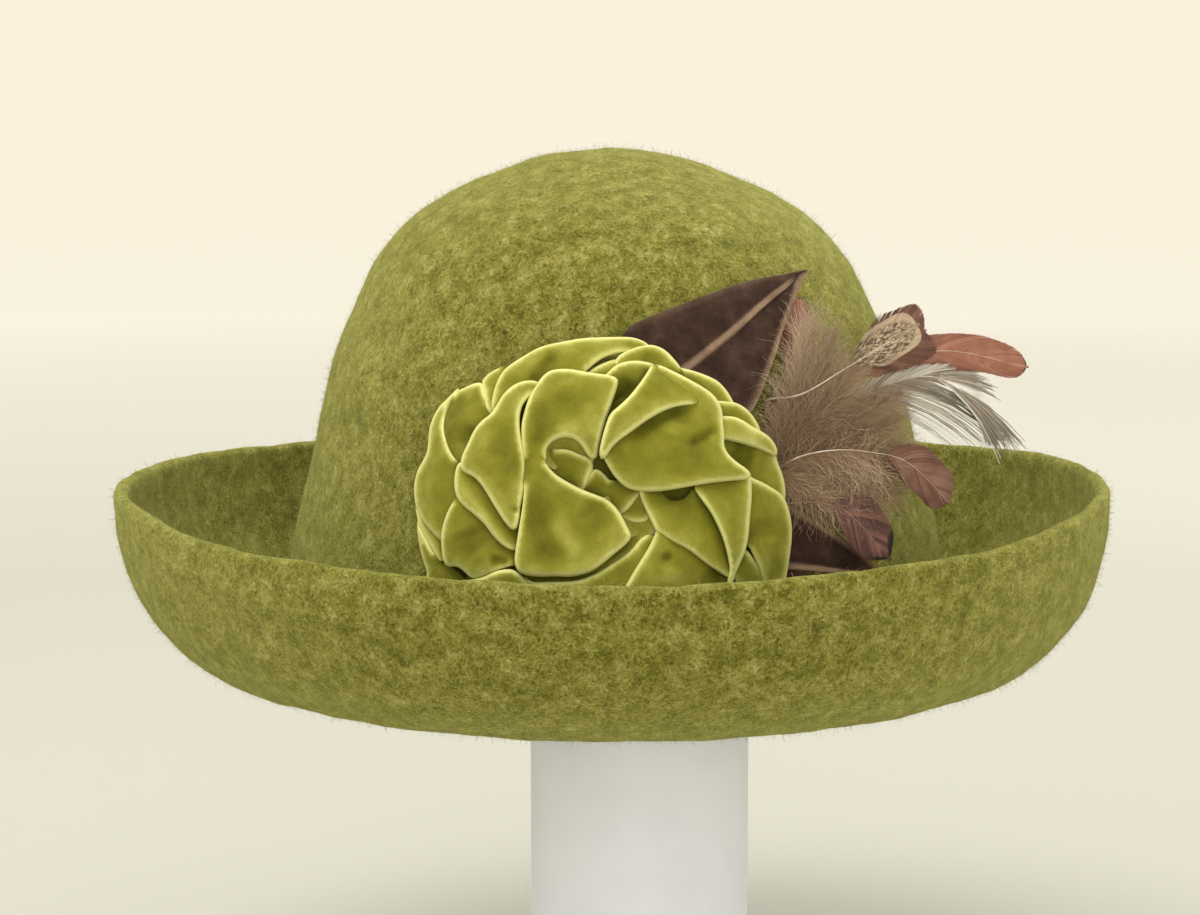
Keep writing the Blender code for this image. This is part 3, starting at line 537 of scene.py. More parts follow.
fibre = wool_fibre()
nap_nodes = nap_tree(fibre)
heights = shell_points[:, 2] - fold_height
from_axis = np.hypot(shell_points[:, 0] + HAT_SHIFT, shell_points[:, 1])
on_crown = (from_axis < FOLD_RADIUS - CROWN_MARGIN) | (heights > RIM_TOP)
in_front = shell_points[:, 1] < 0.0
for part, mask, density, seed in (
    ("crown_front", on_crown & in_front, CROWN_FIBRES, 3),
    ("crown_back", on_crown & ~in_front, CROWN_FIBRES, 4),
    ("brim_front", ~on_crown & in_front, BRIM_FIBRES, 5),
    ("brim_back", ~on_crown & ~in_front, BRIM_FIBRES, 6),
):
    put_attribute(felt_body, "nap", nap_thickness * mask)
    fuzz = made_by_nodes(f"wool_nap_{part}", felt_body, nap_nodes, {
        "Fibres per m2": density, "Length": NAP_LENGTH, "Width": NAP_WIDTH, "Lift": NAP_LIFT, "Seed": seed})
    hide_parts("felt_hat")
    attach(fuzz, "root")
felt_body.data.attributes.remove(felt_body.data.attributes["nap"])


# Velvet rosette.
# A cabbage rose of silk velvet ribbon: overlapping folded loops round a small open eye, over a looser ruff of
# the same ribbon. The folds are tacked to a round pad, and the pad is sewn to the front of the crown.
ROSETTE_RADIUS = 0.0525
ROSETTE_TURN = -2.0
ROSETTE_HEIGHT = 0.0555
# Millimetres between the points of a fold's mesh.
FOLD_STEP = 0.9
# Tones of the velvet's colour: of a fold's face; the painted highlight that a free hem adds at its edge and
# just inside it; the painted shade that a tuck takes away; the painted highlight a crease adds on its ridge
# or the painted shade it takes away in its groove; and of the pad.
FACE_TONE = 0.40
HEM_PAINTED_HIGHLIGHT = 0.46
HEM_PAINTED_GLOW = 0.21
TUCK_SHADE = 0.16
CREASE_PAINTED_LIGHT_AND_SHADE = 0.15
PAD_TONE = 0.30
# Height of the ribbon's folds over the felt: share of the rosette's radius, and millimetres.
FOLD_LIFT = (
    (0.00, 19.0), (0.20, 21.0), (0.38, 24.5), (0.52, 25.0), (0.66, 24.0), (0.80, 21.5), (0.92, 18.0),
    (1.00, 14.0), (1.30, 8.0),
)
# The pad's outline: millimetres from the middle, and over the felt.
PAD_OUTLINE = (
    (0.0, 11.5), (8.0, 12.0), (16.0, 15.0), (26.0, 18.0), (34.0, 16.5), (40.0, 13.0), (44.0, 9.0),
    (45.5, 6.5), (44.0, 4.5), (38.0, 4.0), (30.0, 3.0), (20.0, 0.6), (0.0, 0.4),
)
PAD_FACETS = 72
# The photo's camera: where it aims, how far off it is, its tilt, its focal length in pixels and the pixel it
# aims at. The folds were read off the photo, and read_from_photo brings their pixels to the rosette.
CAMERA_AIM = (-HAT_SHIFT, 0.0, 0.18225)
CAMERA_DISTANCE = 0.900
CAMERA_TILT = math.radians(8.68)
FOCAL_PIXELS = 2915.0
AIM_PIXEL = (616.6, 488.5)
# Folds from the felt outwards. The level is in millimetres over FOLD_LIFT. An edge's points are photo pixels,
# then how many millimetres the fold dips there to pass under its neighbour. Creases are height and width in
# millimetres, and their path in photo pixels.
FOLDS = (
    {"name": "ruff_left_lowest", "level": -3.6, "thick": 2.6, "edge": (
        (416.4, 520.8), (416.4, 536), (419.6, 554), (424, 569), (428, 582), (436, 600), (450, 612, -1),
        (458, 600, -3), (452, 583, -3), (446, 567, -3), (443, 556, -3), (434, 557, -0.5), (428, 545),
        (421.5, 534), (418, 522))},
    {"name": "ruff_left_low", "level": -3.2, "thick": 2.2, "edge": (
        (415, 508, -2), (424, 518, -2.5), (436, 528, -3), (446, 540, -3), (446, 556, -3), (441, 566, -1),
        (434, 557), (428, 546), (421.5, 535), (417.5, 524), (416, 516))},
    {"name": "ruff_left", "level": -2.6, "thick": 2.8, "edge": (
        (460.5, 388.5), (455.5, 392), (448.3, 399.5), (439.3, 407.8), (433, 419.3), (429, 432),
        (428, 452.5), (422.8, 462.7), (416.4, 473.6), (413.2, 489), (414.5, 505.5), (417, 514.4),
        (423.4, 525), (430, 533), (437.5, 541), (444, 545, -2), (452, 535, -3), (460, 515, -3),
        (466, 495, -3), (465, 475, -3), (460, 464, -1.5), (453.4, 457.6), (448.3, 447.3), (444.4, 432),
        (445.7, 419.3), (450.8, 406.5), (456, 398.5), (460, 391.5))},
    {"name": "ruff_upper_left", "level": -2.2, "thick": 2.4, "edge": (
        (482.7, 383), (473.8, 384.5), (466, 388.7), (459, 391.5, -0.4), (450, 404, -1), (444, 419, -1.3),
        (442, 432, -1.3), (445, 445, -1.3), (453, 456, -0.8), (460, 466, -1), (470, 470, -3),
        (480, 455, -3.5), (488, 435, -3.5), (497, 420, -3), (492, 409, -1.5), (487, 397), (485, 388)),
     "creases": (
         (-1, 3.5, ((476, 425), (470, 440), (464, 452))),
         (-0.7, 1.6, ((466, 396), (457, 412), (452, 426))),
     )},
    {"name": "ruff_upper_left_small", "level": -2.0, "thick": 2.2, "edge": (
        (493, 372), (486, 377.5), (482.7, 382.5), (484, 390), (485.5, 398), (486, 407), (489, 413),
        (496, 418, -2), (502, 408, -3), (508, 390, -3), (512, 372, -3), (505, 366.5, -1)),
     "creases": (
         (-0.5, 1.2, ((492, 382), (493, 394), (492, 408))),
     )},
    {"name": "ruff_top", "level": -1.4, "thick": 2.8, "edge": (
        (491.6, 411.6), (493, 398), (497, 384), (504, 370.5), (518, 360.6), (530, 353), (543, 346),
        (563, 341.5), (582, 337.7), (601, 336.4), (617, 335.8), (634, 335.7), (643, 338.5),
        (651, 343, -0.5), (652, 352, -2.5), (640, 353, -1.5), (626, 350.5), (614, 353), (604, 356.8),
        (597, 361.8), (591, 367), (585, 373, -1), (575, 385, -3), (550, 395, -3), (530, 400, -3),
        (508, 412, -3), (498, 416, -2)),
     "creases": (
         (-1.6, 1.5, ((561, 350), (554, 358), (545, 367), (535, 379), (528, 388))),
         (-0.4, 2.5, ((520, 372), (512, 384), (505, 398))),
     )},
    {"name": "slit_floor", "level": -3.4, "thick": 1.6, "edge": (
        (524, 571, -1), (552, 575, -1), (578, 571, -1), (600, 557, -1), (622, 541, -1), (637, 530, -1),
        (646, 540, -0.6), (634, 552, -0.4), (612, 569, -0.4), (588, 584, -1), (556, 588, -1.5),
        (526, 585, -1.5))},
    {"name": "ruff_top_under", "level": -3.2, "thick": 2.0, "edge": (
        (580, 381, -1.5), (588, 372.5, -0.4), (596, 366.5), (605, 362), (615, 358.5), (627, 357.5, -0.4),
        (634, 366, -1.5), (626, 382, -2.5), (604, 390, -3), (588, 391, -2.5))},
    {"name": "ruff_top_right", "level": -1.6, "thick": 2.4, "edge": (
        (615.5, 361), (620, 355), (625.5, 350.8), (638.3, 345), (651, 343), (661.2, 345), (669, 350),
        (675.5, 357), (682, 365, -0.5), (688, 378, -3), (672, 385, -3.5), (650, 375, -3.5), (630, 372, -3),
        (619, 368, -1.5)),
     "creases": (
         (-0.8, 1.5, ((640, 356.8), (654, 358), (668, 362))),
     )},
    {"name": "ruff_right_1", "level": -2.9, "thick": 2.4, "edge": (
        (672, 363, -2), (681.6, 366), (694.4, 368.5), (708.4, 373.5), (718.6, 378), (726.3, 385.5),
        (731.4, 393), (735.5, 401), (736, 408, -2), (722, 414, -3), (705, 406, -3.5), (690, 390, -3.5),
        (675, 378, -3))},
    {"name": "ruff_right_2", "level": -2.7, "thick": 2.4, "edge": (
        (710, 398, -2), (720, 398.8), (734, 399.2), (744, 403.3), (752, 410.5), (757.5, 418.5),
        (762, 427.5), (760, 436, -2), (745, 430, -3), (728, 424, -3.5), (712, 415, -3))},
    {"name": "ruff_right_3", "level": -4.6, "thick": 2.4, "edge": (
        (712, 430, -2), (726, 436, -1), (740, 438, -1), (757, 442, -0.5), (771, 446), (776.5, 450),
        (777.8, 458), (782.6, 469.8), (785.8, 482.5), (786, 493), (784, 503, -1.5), (775, 505, -3),
        (760, 495, -3), (745, 485, -3), (735, 468, -2.5), (722, 450, -2.5)),
     "creases": (
         (-1.3, 4, ((730, 447), (742, 452), (758, 458))),
     )},
    {"name": "ruff_right_fold", "level": -0.9, "thick": 3.8, "edge": (
        (712, 414, -2), (722.4, 413.6), (734, 413.5), (744, 417.3), (753, 423.6), (762, 428), (771, 434.2),
        (776.2, 441), (779, 449), (777, 454), (768, 449.5), (755, 444.5), (740, 440), (728, 437.5),
        (716, 436, -1.5), (706, 428, -2.5), (706, 418, -2.5)),
     "creases": (
         (0.8, 2.4, ((718, 422), (740, 428), (756, 436), (770, 446))),
     )},
    {"name": "ruff_right_low_under", "level": -3.8, "thick": 2.4, "edge": (
        (742, 545, -2), (748, 549), (754, 557), (761, 567), (766, 578), (770, 592), (768, 612, -1),
        (752, 618), (740, 606), (737, 592), (733.5, 579), (732, 570, -1.5), (735, 556, -2.5))},
    {"name": "ruff_right_low", "level": -2.0, "thick": 3.0, "edge": (
        (748, 470, -2), (752, 475.5), (762, 479), (772.2, 485), (782.4, 491.4), (787.8, 501.6),
        (791.5, 517), (792.3, 532.3), (789.2, 556.5), (785.5, 577), (780, 598), (770, 612, -0.5),
        (765, 600, -1), (763.5, 585), (758.5, 566), (751.5, 549.5), (744, 538, -2.5), (738, 520, -3),
        (738, 490, -3)),
     "creases": (
         (-0.5, 5, ((760, 515), (764, 540))),
     )},
    {"name": "ruff_bottom_right", "level": -2.6, "thick": 3.0, "edge": (
        (770, 585, -2), (776, 600), (770, 625), (757, 650), (740, 668), (722, 680), (706, 672, -1),
        (700, 650, -2.5), (716, 620, -3), (740, 595, -3))},
    {"name": "ruff_bottom_1", "level": -2.0, "thick": 3.0, "edge": (
        (735, 640, -2), (732, 664), (716, 684), (692, 699), (664, 706), (648, 700, -1), (648, 672, -2.5),
        (672, 640, -3), (705, 622, -3))},
    {"name": "ruff_bottom_2", "level": -2.6, "thick": 3.0, "edge": (
        (672, 672, -2), (668, 694), (650, 706), (620, 711), (592, 710), (576, 702, -1), (574, 675, -2.5),
        (598, 645, -3), (640, 640, -3))},
    {"name": "ruff_bottom_3", "level": -2.0, "thick": 3.0, "edge": (
        (600, 680, -2), (592, 702), (572, 709), (546, 704), (518, 692), (502, 680, -1), (505, 655, -2.5),
        (535, 630, -3), (575, 640, -3))},
    {"name": "ruff_bottom_4", "level": -2.6, "thick": 3.0, "edge": (
        (528, 662, -2), (516, 686), (498, 684), (474, 667), (454, 644), (446, 625, -1), (458, 602, -2.5),
        (492, 600, -3), (522, 625, -3))},
    {"name": "ruff_bottom_left", "level": -3.2, "thick": 2.8, "edge": (
        (466, 632, -2), (456, 648), (442, 632), (430, 608), (424, 582), (428, 566, -1), (444, 562, -2.5),
        (470, 585, -3), (480, 612, -3))},
    {"name": "whorl_bottom_left", "level": -1.2, "thick": 2.2, "edge": (
        (446, 585), (458, 582.5), (470, 581), (482, 578.3), (491, 573.5), (499, 570.8), (511, 569.5),
        (519, 574.5), (527, 582), (534, 589.5), (540, 606, -1), (532, 640, -1.5), (505, 655), (478, 640),
        (458, 615), (448, 598)),
     "creases": (
         (-0.6, 3, ((500, 585), (504, 620))),
     )},
    {"name": "whorl_bottom_leaf", "level": -0.6, "thick": 2.2, "edge": (
        (521, 574, -2.5), (531, 583.5), (545, 582), (557, 582), (576, 581), (594, 574.5), (610, 564),
        (622, 556.5), (632, 547.5), (640, 537.5), (648, 533, -0.5), (656, 536, -1.5), (652, 550, -1.2),
        (645, 568, -1.2), (638, 585, -1.2), (634, 610, -1.5), (622, 648, -1), (590, 664), (560, 656),
        (538, 630), (528, 600)),
     "creases": (
         (-0.7, 3, ((632, 560), (612, 578), (596, 600))),
     )},
    {"name": "whorl_bottom_right", "level": -0.2, "thick": 2.2, "edge": (
        (654, 534.5), (648, 547), (641, 558), (634, 569), (628, 579.5), (622, 590), (618, 610), (622, 640),
        (650, 662), (690, 655), (716, 630), (726, 606), (730, 590), (733, 574, -2), (722, 560, -3),
        (705, 546, -3), (690, 535, -3), (670, 525, -3), (658, 524, -2)),
     "creases": (
         (-1.2, 1, ((663, 553), (670, 560))),
         (-1.2, 4, ((705, 566), (718, 580), (720, 600))),
         (0.6, 3, ((673, 562), (668, 590))),
     )},
    {"name": "eye_lining", "level": -4.3, "thick": 1.6, "edge": (
        (540, 446), (551, 436), (568, 432), (584, 437), (595, 450), (594, 466), (574, 474), (552, 472),
        (541, 460))},
    {"name": "eye_floor", "level": -4.6, "thick": 1.6, "edge": (
        (600, 496), (618, 486), (640, 486), (654, 498), (660, 516), (657, 534), (644, 541), (626, 538),
        (610, 524), (601, 510))},
    {"name": "centre_flap_low", "level": -3.6, "thick": 1.6, "edge": (
        (614, 500, -1.5), (626, 490, -2), (642, 488, -2), (652, 498, -1.5), (655, 512, -1), (647, 521),
        (637, 523), (626, 520.5), (617, 513, -1))},
    {"name": "centre_flap_right", "level": -3.0, "thick": 1.6, "edge": (
        (591, 474), (594, 468), (600, 469), (605, 474), (611, 481, -0.5), (622, 480, -2), (640, 482, -2),
        (645, 490, -1.5), (637, 497), (632, 505), (624, 512.5), (616, 516, -1), (604, 510, -2.5),
        (588, 498, -2.5), (582, 488, -1.5), (586, 480))},
    {"name": "centre_flap_left", "level": -2.4, "thick": 1.6, "edge": (
        (543, 452, -2), (550, 450, -2), (560, 449), (570, 449.5), (580, 454), (588, 456.5), (593, 461),
        (594, 468), (590, 478), (585, 489), (578, 494, -2), (562, 486, -2.5), (548, 474, -2)),
     "creases": (
         (0.5, 0.8, ((592, 468), (586, 478), (583, 487))),
     )},
    {"name": "whorl_top_right_small", "level": -1.6, "thick": 2.2, "edge": (
        (603, 378, -2), (607.6, 373), (616.6, 364.4), (625.5, 360.3), (638.3, 359.2), (651, 361),
        (658, 364, -0.5), (660, 380, -3.5), (648, 398, -5), (630, 412, -5.5), (614, 420, -5),
        (606, 408, -4.5), (604, 390, -3)),
     "creases": (
         (-2.4, 2.4, ((637, 378), (627, 388), (619, 400), (614, 410))),
     )},
    {"name": "whorl_right_under", "level": 0.2, "thick": 2.0, "edge": (
        (692, 484, -1.5), (710, 476, -2.5), (737, 470, -2.5), (750, 472, -1), (752.3, 480), (752, 497),
        (750, 516), (748.6, 533.5), (745.4, 548.8), (739, 562.9), (734, 574), (731, 586), (727, 590, -1),
        (726, 578, -0.6), (729.5, 569), (727.8, 556.5), (723.8, 540), (718.5, 526), (710, 509),
        (701, 497.5))},
    {"name": "whorl_right", "level": -0.6, "thick": 2.0, "edge": (
        (638, 482, -2.5), (639, 491), (641.5, 500), (647, 511.8), (652.3, 523.3), (656, 531.5),
        (662, 533.5), (671.4, 540), (689.3, 548.8), (704.6, 561.6), (720, 571.8), (729, 577),
        (733, 569, -2), (733, 556, -3), (729, 540, -3), (722, 524, -3), (712, 506, -3), (702, 494, -2.5),
        (694, 486, -1.5), (690, 492, -1.5), (683, 499, -1.5), (672, 500.5, -1.5), (665, 496, -1.5),
        (661, 488, -2))},
    {"name": "whorl_left_low", "level": -1.4, "thick": 2.2, "edge": (
        (456, 499, -1.5), (449, 509), (443.5, 522), (440, 537), (440.6, 553), (442.5, 564.5),
        (447.5, 569.5), (454, 567.5), (460.5, 570.5), (466, 576), (471.5, 580.5), (482, 577.8),
        (492, 572.8), (501, 569.5), (509, 567, -0.5), (518, 566, -2), (519, 550, -3), (506, 537, -3),
        (492, 522, -3), (478, 506, -3), (464, 497, -2.5)),
     "creases": (
         (-1, 4, ((464, 528), (470, 545), (480, 556))),
         (-1.6, 1.6, ((488, 562), (498, 562.5), (510, 563))),
         (0.5, 1, ((490, 554.5), (500, 557), (509, 558.5))),
     )},
    {"name": "whorl_left_under", "level": -0.9, "thick": 2.0, "edge": (
        (470, 470, -1.5), (462, 462), (457, 466), (454.4, 477), (454, 489), (456.5, 500), (463, 507.5),
        (471, 513.8), (484, 525), (491.6, 536.5), (501.8, 546.8), (513, 552.5), (521, 548, -2.5),
        (521, 530, -3), (510, 510, -3), (496, 490, -3), (482, 474, -3)),
     "creases": (
         (0.7, 1.5, ((458, 480), (466, 497), (480, 512), (494, 528), (508, 545))),
         (-0.5, 2, ((484, 500), (497, 519), (509, 536))),
     )},
    {"name": "whorl_left", "level": 0.6, "thick": 2.2, "edge": (
        (512, 386.8), (522.2, 381.7), (531, 380.4), (540, 381.5, -0.5), (541, 390, -2), (532, 395, -0.5),
        (526.5, 400.5), (522, 407.5), (520, 418), (520, 428), (521.3, 438.4), (524.8, 457.6), (525.4, 470),
        (525, 483), (522.5, 498), (519.8, 508), (519.3, 518), (517, 529), (512.5, 531.5), (507, 527),
        (502, 520), (498, 513.6), (491.6, 503.4), (485.3, 492), (478.9, 483), (472.5, 477),
        (466, 475, -0.3), (460.5, 470), (461, 459), (468, 444.8), (473.8, 432), (481.4, 421.8),
        (492, 414.5), (498, 405), (503, 396)),
     "creases": (
         (-0.8, 4, ((508, 405), (506, 430), (508, 460), (512, 490))),
         (-1.4, 0.8, ((516.5, 508), (517, 514))),
         (0.4, 3, ((506, 400), (496, 430), (484, 458), (476, 474))),
     )},
    {"name": "whorl_top", "level": 0.2, "thick": 2.4, "edge": (
        (540, 381), (545, 374.6), (553, 369.5), (569.4, 368), (586, 371), (599, 373), (611, 374.2),
        (620, 377.5), (618.5, 386), (615, 396), (611.8, 405), (608.4, 414), (605.4, 423), (602, 436),
        (599.8, 445), (597.5, 458), (591, 458.5), (586, 452), (581.5, 444), (575.5, 438.8), (566.6, 436.5),
        (557.5, 438.5), (550, 443.5), (546, 450), (547, 458, -0.5), (543, 471, -2.4), (528, 475, -2.6),
        (523.5, 458, -0.4), (522, 440), (521.6, 426), (524.8, 413), (528.4, 401), (533, 390)),
     "creases": (
         (-1, 2.2, ((541, 398), (541, 414), (541.5, 430), (541.5, 448), (540, 458))),
         (-0.5, 5, ((562, 384), (570, 402), (574, 424))),
         (0.6, 2, ((590, 396), (592, 418), (590, 446))),
         (0.6, 2, ((556, 436), (566, 431), (576, 430), (583, 434))),
     )},
    {"name": "whorl_right_big", "level": 1.4, "thick": 2.4, "edge": (
        (650, 366, -1), (658, 362), (672, 368), (688, 376), (702, 383.6), (713.5, 391.2), (720, 399),
        (723.8, 409), (724, 420), (725.5, 435), (724.5, 443), (729, 452.5), (738, 460.5), (747, 466),
        (752.5, 472.5), (749.5, 477.2), (737, 478), (710, 481), (690, 484.8), (665, 489.6), (648, 490.6),
        (637, 490), (626, 487), (616.5, 478.5), (608.5, 466.5), (603, 456, -0.8), (600, 446, -2.5),
        (610, 425, -3), (630, 402, -3), (645, 382, -3)),
     "creases": (
         (-1.4, 2.2, ((704, 405), (690, 407.5), (672, 411.5), (655, 419.5), (638, 430), (622, 441))),
         (-1.1, 1.1, ((722, 428), (712, 431), (702, 437), (692, 442), (684, 443))),
         (0.7, 3, ((678, 419), (672, 436))),
         (0.5, 1, ((718, 434), (710, 439))),
         (-0.4, 5, ((660, 458), (690, 464), (716, 460), (735, 464))),
     )},
    {"name": "whorl_right_flap", "level": 3.0, "thick": 1.8, "edge": (
        (653, 364, -0.5), (651, 367.5), (642, 381), (632, 393.8), (621.7, 404), (611, 412.5), (606.6, 424),
        (602.8, 437), (599.5, 451), (600.5, 459), (606, 457.5), (610, 450), (617, 441.5), (632, 430.8),
        (651, 416.7), (670, 406.5), (686.7, 403.2), (698, 402.5, -1), (708, 396, -2.6), (704, 386, -2.6),
        (690, 378, -2.2), (673, 370, -2.2), (660, 364, -2.2)),
     "creases": (
         (-0.5, 4, ((664, 383), (650, 400))),
     )},
    {"name": "whorl_front", "level": 2.0, "thick": 2.4, "edge": (
        (523.5, 452, -3.4), (533, 446, -3.4), (541, 452, -2.8), (545, 461, -0.9), (549, 468),
        (556.7, 475.5), (569.4, 483), (582, 489.3), (595, 494), (607, 498.5), (615.3, 505.8),
        (621.7, 514.6), (626.8, 525.9), (632, 535.5), (625.5, 543.7), (612.8, 554), (600, 565),
        (588.6, 572.6), (569.4, 577.3), (557, 576.5), (540, 577.5), (525, 576.5), (515.5, 572),
        (513.3, 561), (515, 548), (518.4, 528.4), (521.8, 508), (524, 490, -0.4), (524, 474, -1.4),
        (523, 462, -2.8)),
     "creases": (
         (-1.6, 3.2, ((528, 486), (532, 506), (537, 525), (544, 541), (553, 555), (563, 563), (574, 570))),
         (1.1, 3, ((548, 516), (555, 530), (566, 545), (577, 555), (586, 560))),
         (-0.6, 4, ((580, 506), (594, 520), (606, 534))),
     )},
)

crown_end = int(np.argmin(np.where(outer_line[:, 0] > FOLD_ZONE[1], np.inf, outer_line[:, 1])))
outer_crown = outer_line[:crown_end][::-1]


def felt_radius(height):
    """Radius of the crown's outside at heights over the fold."""
    return np.interp(height, outer_crown[:, 1], outer_crown[:, 0])


def off_crown(turn, height, off):
    """Places that stand off the outside of the crown's felt."""
    turn = np.asarray(turn, dtype=float)
    height = np.asarray(height, dtype=float)
    return hat_place(turn, height, felt_radius(height) + off)


def rosette_axes():
    """The rosette's middle on the felt, and its right, up and outward directions."""
    reach = ROSETTE_RADIUS / 2
    below = off_crown(ROSETTE_TURN, ROSETTE_HEIGHT - reach, 0.0)
    above = off_crown(ROSETTE_TURN, ROSETTE_HEIGHT + reach, 0.0)
    turn = math.radians(ROSETTE_TURN)
    right = np.array((math.cos(turn), math.sin(turn), 0.0))
    up = (above - below) / np.linalg.norm(above - below)
    return off_crown(ROSETTE_TURN, ROSETTE_HEIGHT, 0.0), right, up, np.cross(right, up)


middle, rightwards, upwards, outwards = rosette_axes()


def rosette_place(flat, lift):
    """Places over the felt from millimetres right and up on the rosette's plane and millimetres of lift."""
    base = middle + flat[:, :1] / 1000 * rightwards + flat[:, 1:2] / 1000 * upwards
    near, far = np.full(len(flat), -ROSETTE_RADIUS), np.full(len(flat), ROSETTE_RADIUS)
    # Halved until the place on the felt is found.
    for _ in range(24):
        half = (near + far) / 2
        place = base + half[:, None] * outwards
        height = place[:, 2] - fold_height
        inside = np.hypot(place[:, 0] + axis_shift(height), place[:, 1]) < felt_radius(height)
        near, far = np.where(inside, half, near), np.where(inside, far, half)
    return base + (far + np.asarray(lift) / 1000)[:, None] * outwards


def fold_lift(flat):
    """How high the folds stand over the felt, in millimetres, at places on the rosette's plane."""
    return np.interp(np.linalg.norm(flat, axis=1) / ROSETTE_RADIUS / 1000, *np.transpose(FOLD_LIFT))


def read_from_photo(pixels, over):
    """Millimetres right and up on the rosette's plane of photo pixels that stand so far over FOLD_LIFT."""
    ahead = np.array((0.0, math.cos(CAMERA_TILT), -math.sin(CAMERA_TILT)))
    above = np.array((0.0, math.sin(CAMERA_TILT), math.cos(CAMERA_TILT)))
    eye = np.array(CAMERA_AIM) - ahead * CAMERA_DISTANCE
    shares = (np.array(pixels, dtype=float) - AIM_PIXEL) / FOCAL_PIXELS
    rays = ahead + shares[:, :1] * (1.0, 0.0, 0.0) - shares[:, 1:] * above
    # The lift is guessed, and mended a few times from the place that it gives.
    lift = np.full(len(shares), 0.02)
    for _ in range(8):
        reach = ((middle + lift[:, None] * outwards - eye) @ outwards) / (rays @ outwards)
        offset = eye + rays * reach[:, None] - middle
        flat = np.stack([offset @ rightwards, offset @ upwards], axis=1) * 1000
        lift = (rosette_place(flat, fold_lift(flat) + over) - middle) @ outwards
    return flat


def softened_loop(corners, step):
    """A closed outline whose corners are cut twice, in even steps."""
    loop = np.array(corners, dtype=float)
    for _ in range(2):
        ahead = np.roll(loop, -1, axis=0)
        cuts = np.stack([loop * 0.75 + ahead * 0.25, loop * 0.25 + ahead * 0.75], axis=1)
        loop = cuts.reshape(-1, loop.shape[1])
    return evened(np.vstack([loop, loop[:1]]), step)[:-1]


def path_distance(points, path):
    """Distance of each point from a path, and the share of the path where it is nearest."""
    best, where = np.full(len(points), 1e9), np.zeros(len(points))
    lengths = np.concatenate([[0], np.cumsum(np.linalg.norm(np.diff(path, axis=0), axis=1))])
    for i in range(len(path) - 1):
        start, step = path[i], path[i + 1] - path[i]
        share = np.clip((points - start) @ step / (step @ step), 0, 1)
        gap = np.linalg.norm(points - start - share[:, None] * step, axis=1)
        nearer = gap < best
        best = np.where(nearer, gap, best)
        reached = lengths[i] + share * (lengths[i + 1] - lengths[i])
        where = np.where(nearer, reached / lengths[-1], where)
    return best, where


def inside_loop(points, loop):
    """Whether each point lies inside a closed outline."""
    x, y = points[:, 0][:, None], points[:, 1][:, None]
    ax, ay = loop[:, 0], loop[:, 1]
    bx, by = np.roll(ax, -1), np.roll(ay, -1)
    crosses = ((ay > y) != (by > y)) & (x < (bx - ax) * (y - ay) / np.where(by == ay, 1e-9, by - ay) + ax)
    return crosses.sum(axis=1) % 2 == 1


def signed_area(loop):
    """Twice an outline's area, positive where it runs anticlockwise."""
    return np.sum(loop[:, 0] * np.roll(loop[:, 1], -1) - loop[:, 1] * np.roll(loop[:, 0], -1))


def ring_of(count):
    """The edges of a closed ring of points."""
    return [(i, (i + 1) % count) for i in range(count)]


def flat_fill(loop, hem):
    """Points that fill an outline, closest together along its hem, and the triangles between them.

    Gives the points, the triangles, each point's source, and the directions inwards from the outline.
    """
    tangent = np.roll(loop, -1, axis=0) - np.roll(loop, 1, axis=0)
    inward = np.stack([-tangent[:, 1], tangent[:, 0]], axis=1)
    inward /= np.linalg.norm(inward, axis=1)[:, None] + 1e-9
    inward *= math.copysign(1.0, signed_area(loop))
    closed = np.vstack([loop, loop[:1]])
    extra = []
    for gap in (hem * 0.18, hem * 0.55):
        ring = loop + inward * gap
        extra.append(ring[inside_loop(ring, loop) & (path_distance(ring, closed)[0] > gap * 0.9)])
    low, high = loop.min(axis=0), loop.max(axis=0)
    grid = np.array([
        (x + (FOLD_STEP / 2 if i % 2 else 0), y)
        for i, y in enumerate(np.arange(low[1], high[1], FOLD_STEP * 0.9))
        for x in np.arange(low[0], high[0], FOLD_STEP)
    ])
    grid = grid[inside_loop(grid, loop)]
    grid = grid[path_distance(grid, closed)[0] > hem * 0.55 + FOLD_STEP * 0.5]
    points = [Vector(p) for p in np.vstack([loop, *extra, grid])]
    filled, _, faces, sources, *_ = geometry.delaunay_2d_cdt(points, ring_of(len(loop)), [], 1, 1e-5)
    return np.array([tuple(v) for v in filled]), faces, sources, inward


